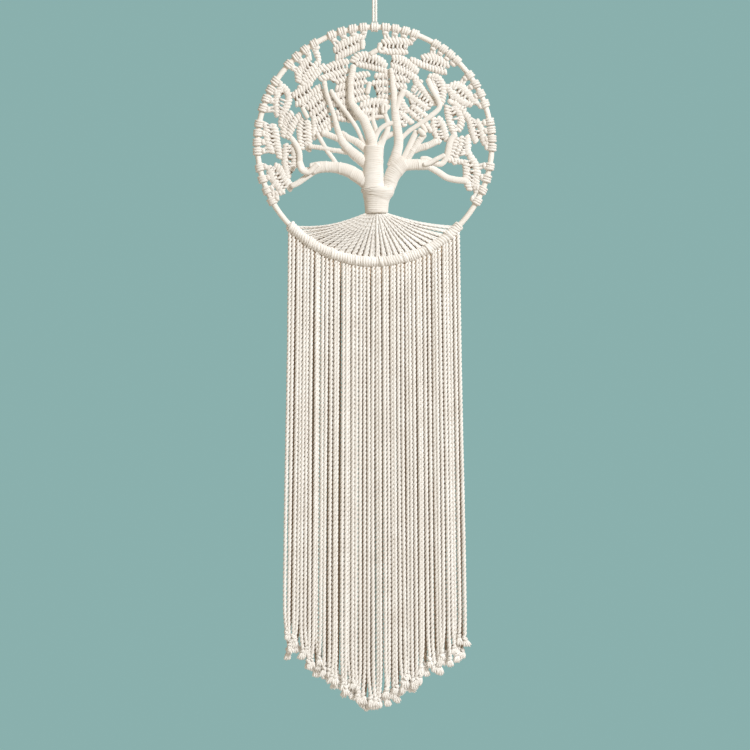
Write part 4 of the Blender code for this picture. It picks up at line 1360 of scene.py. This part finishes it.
# %% One root
ROOT_COUNT = 56
BAND_HALF = 46.2
COLLAR_LEFT = -10.0
COLLAR_RIGHT = 15.0
COLLAR_FOOT = -87.0
ROOT_FAN = 0.985
ROOT_PAIRING = 0.26
ROOT_STRAY = 0.18
ROOT_END = 2.0
ROOT_SAG = 6.5
SAG_MEAN = 0.77
SAG_TO_LEFT = 0.23
ROOT_STEPS = 8
FRONT_LAYERS = (-1, 0.3, -0.6, 0.6)
DEEP_LAYER = 1.6
DEPTH_CURVE = 0.8
DEEP_GAP = 1.5
LAYER_AT_COLLAR = 2.2
LAYER_AT_RING = 0.6
MIDDLE_BULGE = 3.0
GIRTH_AT_COLLAR = 0.85
SIDE_THINNING = 0.32
FRONT_THINNING = 0.09
WAVER = 0.2
WAVER_PACE = 7
ROOT_PHASE_STEP = 1.7


def root(k, share, deep, rng):
    """One root cord; share is its place from left to right in the fan."""
    side = 2 * share - 1
    head = Vector((COLLAR_LEFT + (COLLAR_RIGHT - COLLAR_LEFT) * share, COLLAR_FOOT))
    paired = 0.0 if deep else ROOT_PAIRING * (1 if k % 2 == 0 else -1)
    stray = rng.uniform(-ROOT_STRAY, ROOT_STRAY)
    turn = math.radians(-90 + BAND_HALF * side * ROOT_FAN + paired + stray)
    foot = Vector((math.cos(turn), math.sin(turn))) * (RING_RADIUS / MM - ROOT_END)
    layer = DEEP_LAYER if deep else FRONT_LAYERS[k % len(FRONT_LAYERS)]
    path = []
    for step in range(ROOT_STEPS + 1):
        down = step / ROOT_STEPS
        spot = head.lerp(foot, down)
        sag = ROOT_SAG * (SAG_MEAN - SAG_TO_LEFT * side) * math.sin(math.pi * down) * side ** 2
        depth = TRUNK_DEPTH * (1 - down) ** DEPTH_CURVE
        depth += layer * (LAYER_AT_COLLAR * (1 - down) ** 2 + LAYER_AT_RING)
        depth += (DEEP_GAP if deep else 0.0) - MIDDLE_BULGE * (1 - down) * (1 - abs(side))
        girth = (GIRTH_AT_COLLAR + (1 - GIRTH_AT_COLLAR) * down) * (1 - SIDE_THINNING * side * side)
        girth *= 1.0 if deep else 1 - FRONT_THINNING * down
        waver = WAVER * math.sin(WAVER_PACE * down + k)
        path.append((place(spot.x + waver, spot.y - sag, depth), girth, ROOT_PHASE_STEP * k))
    return path


print("the fan opens over", round(2 * BAND_HALF * ROOT_FAN), "degrees of the ring")

# %% The roots in two layers
DEEP_SIDE = 0.8
ROOT_CORD = 2.45
ROPE_LAY = 11.4
# How much painted shade lies in the hollows of the ropes.
ROPE_GROOVE_SHADE = 0.62

rng = random.Random(5)
roots = [root(k, (k + 0.5) / ROOT_COUNT, False, rng) for k in range(ROOT_COUNT)]
deep_roots = []
for k in range(ROOT_COUNT - 1):
    share = (k + 1) / ROOT_COUNT
    if abs(2 * share - 1) <= DEEP_SIDE:
        deep_roots.append(root(ROOT_COUNT + k, share, True, rng))
make("root_cords", TWISTED_CORD, roots, rope_cotton, stands_for=["roots"], cord_radius=ROOT_CORD,
     lay=ROPE_LAY, strands=2, groove=0.34, flatness=0.72, step=1.4, section_points=8, tone=0.5)
# Painted shade: the deeper roots take the darker cord finish, and their fronts count as deep in a groove.
make("deep_root_cords", TWISTED_CORD, deep_roots, cord_cotton, cord_radius=ROOT_CORD, lay=ROPE_LAY,
     strands=2, groove=0.3, step=2.4, section_points=8, tone=ROPE_GROOVE_SHADE, shelter=1.0)

# %% [markdown]
# ## The band
#
# Every root is hitched over the lower arc of the ring. The hitches lie so close that they cover
# it, so the band is a thick bar with ridges one hitch apart: the limbs' pattern again, coarser,
# with slow waves in its girth. A few plain turns close its two ends, and the same turns make the
# knot of the hanging cord at the top.

# %% The band and the end turns
BAND_GIRTH = RING_TUBE / MM + 2.1
BAND_STEPS = 120
BAND_WAVES = (
    # height of the wave as a share of the girth, waves in the band
    (0.035, 9),
    (0.02, 23),
)
END_REACH = 4.7
END_GAP = 1.2
KNOT_GAP = 1.15

band = []
for k in range(BAND_STEPS + 1):
    share = k / BAND_STEPS
    swell = 1 + sum(height * math.sin(math.tau * waves * share) for height, waves in BAND_WAVES)
    band.append((on_ring(-90 - BAND_HALF + 2 * BAND_HALF * share), BAND_GIRTH * swell * MM, 0.0))
make("band_hitches", BOUND_LIMB, [band], rope_cotton, stands_for=["band"], thread_pitch=3.3,
     thread_height=0.95, flatness=1.0, step=0.55, section_points=24, lean=0.25, bow=0.1,
     binding=31, swelling=0.6, tone=0.8)
end_turns = []
for side in (-1, 1):
    end_turns.append([(on_ring(-90 + side * (BAND_HALF - END_GAP * k)), END_REACH * MM, END_REACH * MM, 0.0)
                      for k in range(2)])
end_turns.append([(on_ring(90 + KNOT_GAP * k), LARK_REACH * MM, LARK_REACH * MM, 0.0) for k in (-1, 0, 1)])
make("end_turns", WRAPS, end_turns, cord_cotton, stands_for=["hanger_knot"], pitch=2.8,
     cord_radius=1.7, squareness=0.97, jitter=0.04, unevenness=0.03, core=0.6, loop_points=18,
     section_points=8, seed=5)

# %% [markdown]
# ## The fringe
#
# Below the band the same cords hang down to a shallow V. Hanging cord is straight, but never
# quite: each cord sways a little, differs in length, and strays near its end. Instances of one
# cord would be lighter, but they would all sway alike, so each has a path of its own. A second row
# hangs behind the first, and its front is painted with shade, so the gaps in front look deep.

# %% One fringe cord
FRINGE_COUNT = 46
FRINGE_REACH = 108.0
FRINGE_LEFT = -FRINGE_REACH
FRINGE_RIGHT = 107.0
FRINGE_FLARE = 1.07
FRINGE_SHIFT = 1.0
FRINGE_LOWEST = -695.0
FRINGE_RISE = 0.7
FRINGE_UNEVEN = 12
MIDDLE_UNEVEN = 0.55
FRINGE_BESIDE = 1.0
FRINGE_SWAY = 0.5
SWAY_SHIFT = 4
FRINGE_PHASE = 0.7
FRINGE_STRAY = 3.0
STRAY_FROM = 0.93
TOP_INSIDE = 1.0
FRINGE_STEPS = 12
FRINGE_SHARES = [k / FRINGE_STEPS for k in range(FRINGE_STEPS)] + [0.95, 0.975, 1.0]


def fringe_cord(x, depth, rng):
    """One hanging cord: from inside the band down to where its end knot starts."""
    top = -math.sqrt((RING_RADIUS / MM) ** 2 - min(abs(x), FRINGE_REACH) ** 2) - TOP_INSIDE
    foot_x = x * FRINGE_FLARE + FRINGE_SHIFT + rng.uniform(-FRINGE_BESIDE, FRINGE_BESIDE)
    uneven = FRINGE_UNEVEN * (MIDDLE_UNEVEN + (1 - MIDDLE_UNEVEN) * abs(foot_x) / FRINGE_REACH)
    foot_z = FRINGE_LOWEST + FRINGE_RISE * abs(foot_x) + rng.uniform(-uneven, uneven)
    sway = rng.uniform(-FRINGE_SWAY, FRINGE_SWAY)
    phase = rng.uniform(-FRINGE_PHASE, FRINGE_PHASE)
    stray = rng.uniform(-FRINGE_STRAY, FRINGE_STRAY)
    path = []
    for down in FRINGE_SHARES:
        spot_x = x + (foot_x - x) * down + sway * math.sin(math.tau * down + SWAY_SHIFT * phase)
        spot_x += stray * max(0.0, (down - STRAY_FROM) / (1 - STRAY_FROM)) ** 2
        settle = min(1.0, down * FRINGE_STEPS)
        path.append((place(spot_x, top + (foot_z - top) * down, depth * settle), 1.0, phase))
    return path


def fringe_x(k):
    """Where a cord starts, counted in cords from the left."""
    return FRINGE_LEFT + (FRINGE_RIGHT - FRINGE_LEFT) * k / FRINGE_COUNT


print("the fringe cords start", round(fringe_x(1) - fringe_x(0), 2), "mm apart")

# %% The fringe in two rows
FRONT_DEPTHS = (-1.6, -1.2, -1.2, 0.4)
FRONT_BESIDE = 1.1
FRONT_NEARER = 0.4
BACK_DEPTH = 4.0
BACK_JITTER = 0.5

rng = random.Random(21)
front = []
for k in range(FRINGE_COUNT):
    depth = rng.choice(FRONT_DEPTHS)
    x = fringe_x(k + 0.5) + rng.uniform(-FRONT_BESIDE, FRONT_BESIDE)
    front.append(fringe_cord(x, depth + rng.uniform(-FRONT_NEARER, FRONT_NEARER), rng))
back = []
for k in range(FRINGE_COUNT - 1):
    x = fringe_x(k + 1) + rng.uniform(-BACK_JITTER, BACK_JITTER)
    back.append(fringe_cord(x, BACK_DEPTH + rng.uniform(-BACK_JITTER, BACK_JITTER), rng))
half = FRINGE_COUNT // 2
FRINGE_PARTS = (
    # name, cords, what it stands for, cord radius, step along the cord, how much painted shade its front gets
    ("fringe_left", front[:half], ["fringe"], 2.48, 1.4, 0.0),
    ("fringe_right", front[half:], [], 2.48, 1.4, 0.0),
    # The back row's front is painted with shade.
    ("fringe_back", back, [], 2.0, 2.6, 1.0),
)
for fringe_name, cords, stands_for, radius, step, shelter in FRINGE_PARTS:
    make(fringe_name, TWISTED_CORD, cords, rope_cotton, stands_for=stands_for, cord_radius=radius,
         lay=ROPE_LAY, strands=2, groove=0.4, step=step, section_points=8, tone=ROPE_GROOVE_SHADE, shelter=shelter)

# %% [markdown]
# ## Knotted and frayed ends
#
# Each cord ends in an overhand knot, and the strands below it are combed out into a small brush.
# The knot is a short coil of the cord itself, tilted at random, and the brush is a fan of thin
# tapering locks. Real hairs would be too many and too fine to see at this size.

# %% End knots
KNOT_DROP = 2.5
KNOT_TURNS = 1.6
KNOT_STEPS = 14
KNOT_WIDTH = 1.7
KNOT_THICKNESS = 1.6
KNOT_HEIGHT = 2.4
KNOT_TILT = 2.0
KNOT_LEANS = (0.35, 0.95)
KNOT_SIZES = (0.92, 1.15)


def overhand(centre, size, lean, start):
    """The coil of a small tight knot round a place; lean is how steeply its turns slant."""
    coil = []
    for k in range(KNOT_STEPS + 1):
        turn = start + math.tau * KNOT_TURNS * k / KNOT_STEPS
        x = KNOT_WIDTH * size * math.cos(turn)
        y = KNOT_THICKNESS * size * math.sin(turn)
        z = size * (KNOT_HEIGHT / 2 - KNOT_HEIGHT * k / KNOT_STEPS)
        z += lean * size * KNOT_TILT * math.cos(turn)
        coil.append((centre + Vector((x, y, z)) * MM, size, start))
    return coil


def end_knot(foot, rng):
    """The knot under the foot of a cord."""
    lean = rng.choice((-1, 1)) * rng.uniform(*KNOT_LEANS)
    size = rng.uniform(*KNOT_SIZES)
    return overhand(foot + Vector((0, 0, -KNOT_DROP)) * MM, size, lean, rng.uniform(0, math.tau))


print("a knot of", KNOT_TURNS, "turns hangs under each of", len(front + back), "cords")

# %% Brushes
LOCKS = 7
BRUSH_DROP = 4.6
BRUSH_NECK = 1.1
BRUSH_LENGTHS = (8.5, 12.0)
BRUSH_SPLAYS = (3.8, 5.6)
BRUSH_DRIFT = 3.5
FAN_CURVE = 0.7
OUTER_SHORTER = 0.18
LOCK_LENGTHS = (0.86, 1.06)
LOCK_DEPTH = 1.2
LOCK_DEPTH_AT_KNOT = 0.6
LOCK_DEPTH_GAIN = 0.9
# How far down the lock, and how thick it is there.
LOCK_GIRTHS = ((0.0, 0.9), (0.3, 1.1), (0.7, 1.0), (0.93, 0.75), (1.0, 0.35))


def brush(foot, rng):
    """The locks under a knot: a fan that splays and drifts to one side."""
    length = rng.uniform(*BRUSH_LENGTHS)
    splay = rng.uniform(*BRUSH_SPLAYS)
    drift = rng.uniform(-BRUSH_DRIFT, BRUSH_DRIFT)
    locks = []
    for lock in range(LOCKS):
        share = 2 * lock / (LOCKS - 1) - 1
        near = -LOCK_DEPTH if lock % 2 else LOCK_DEPTH
        reach = length * (1 - OUTER_SHORTER * share * share) * rng.uniform(*LOCK_LENGTHS)
        points = []
        for down, girth in LOCK_GIRTHS:
            x = share * (BRUSH_NECK + (splay - BRUSH_NECK) * down ** FAN_CURVE) + drift * down
            y = near * (LOCK_DEPTH_AT_KNOT + LOCK_DEPTH_GAIN * down)
            points.append((foot + Vector((x, y, -BRUSH_DROP - reach * down)) * MM, girth, share))
        locks.append(points)
    return locks


knots = []
locks = []
rng = random.Random(8)
for path in front + back:
    foot = path[-1][0]
    knots.append(end_knot(foot, rng))
    locks.extend(brush(foot, rng))
make("end_knots", TWISTED_CORD, knots, rope_cotton, cord_radius=1.85, lay=18, strands=2,
     groove=0.2, step=1.5, section_points=8, tone=0.3)
make("brushes", TWISTED_CORD, locks, rope_cotton, cord_radius=1.35, lay=60, strands=2,
     groove=0.12, step=2.4, section_points=7, tone=0.1)
print("triangles in all:", sum(triangles_of.values()), "most in a piece:", max(triangles_of.values()))

# %% [markdown]
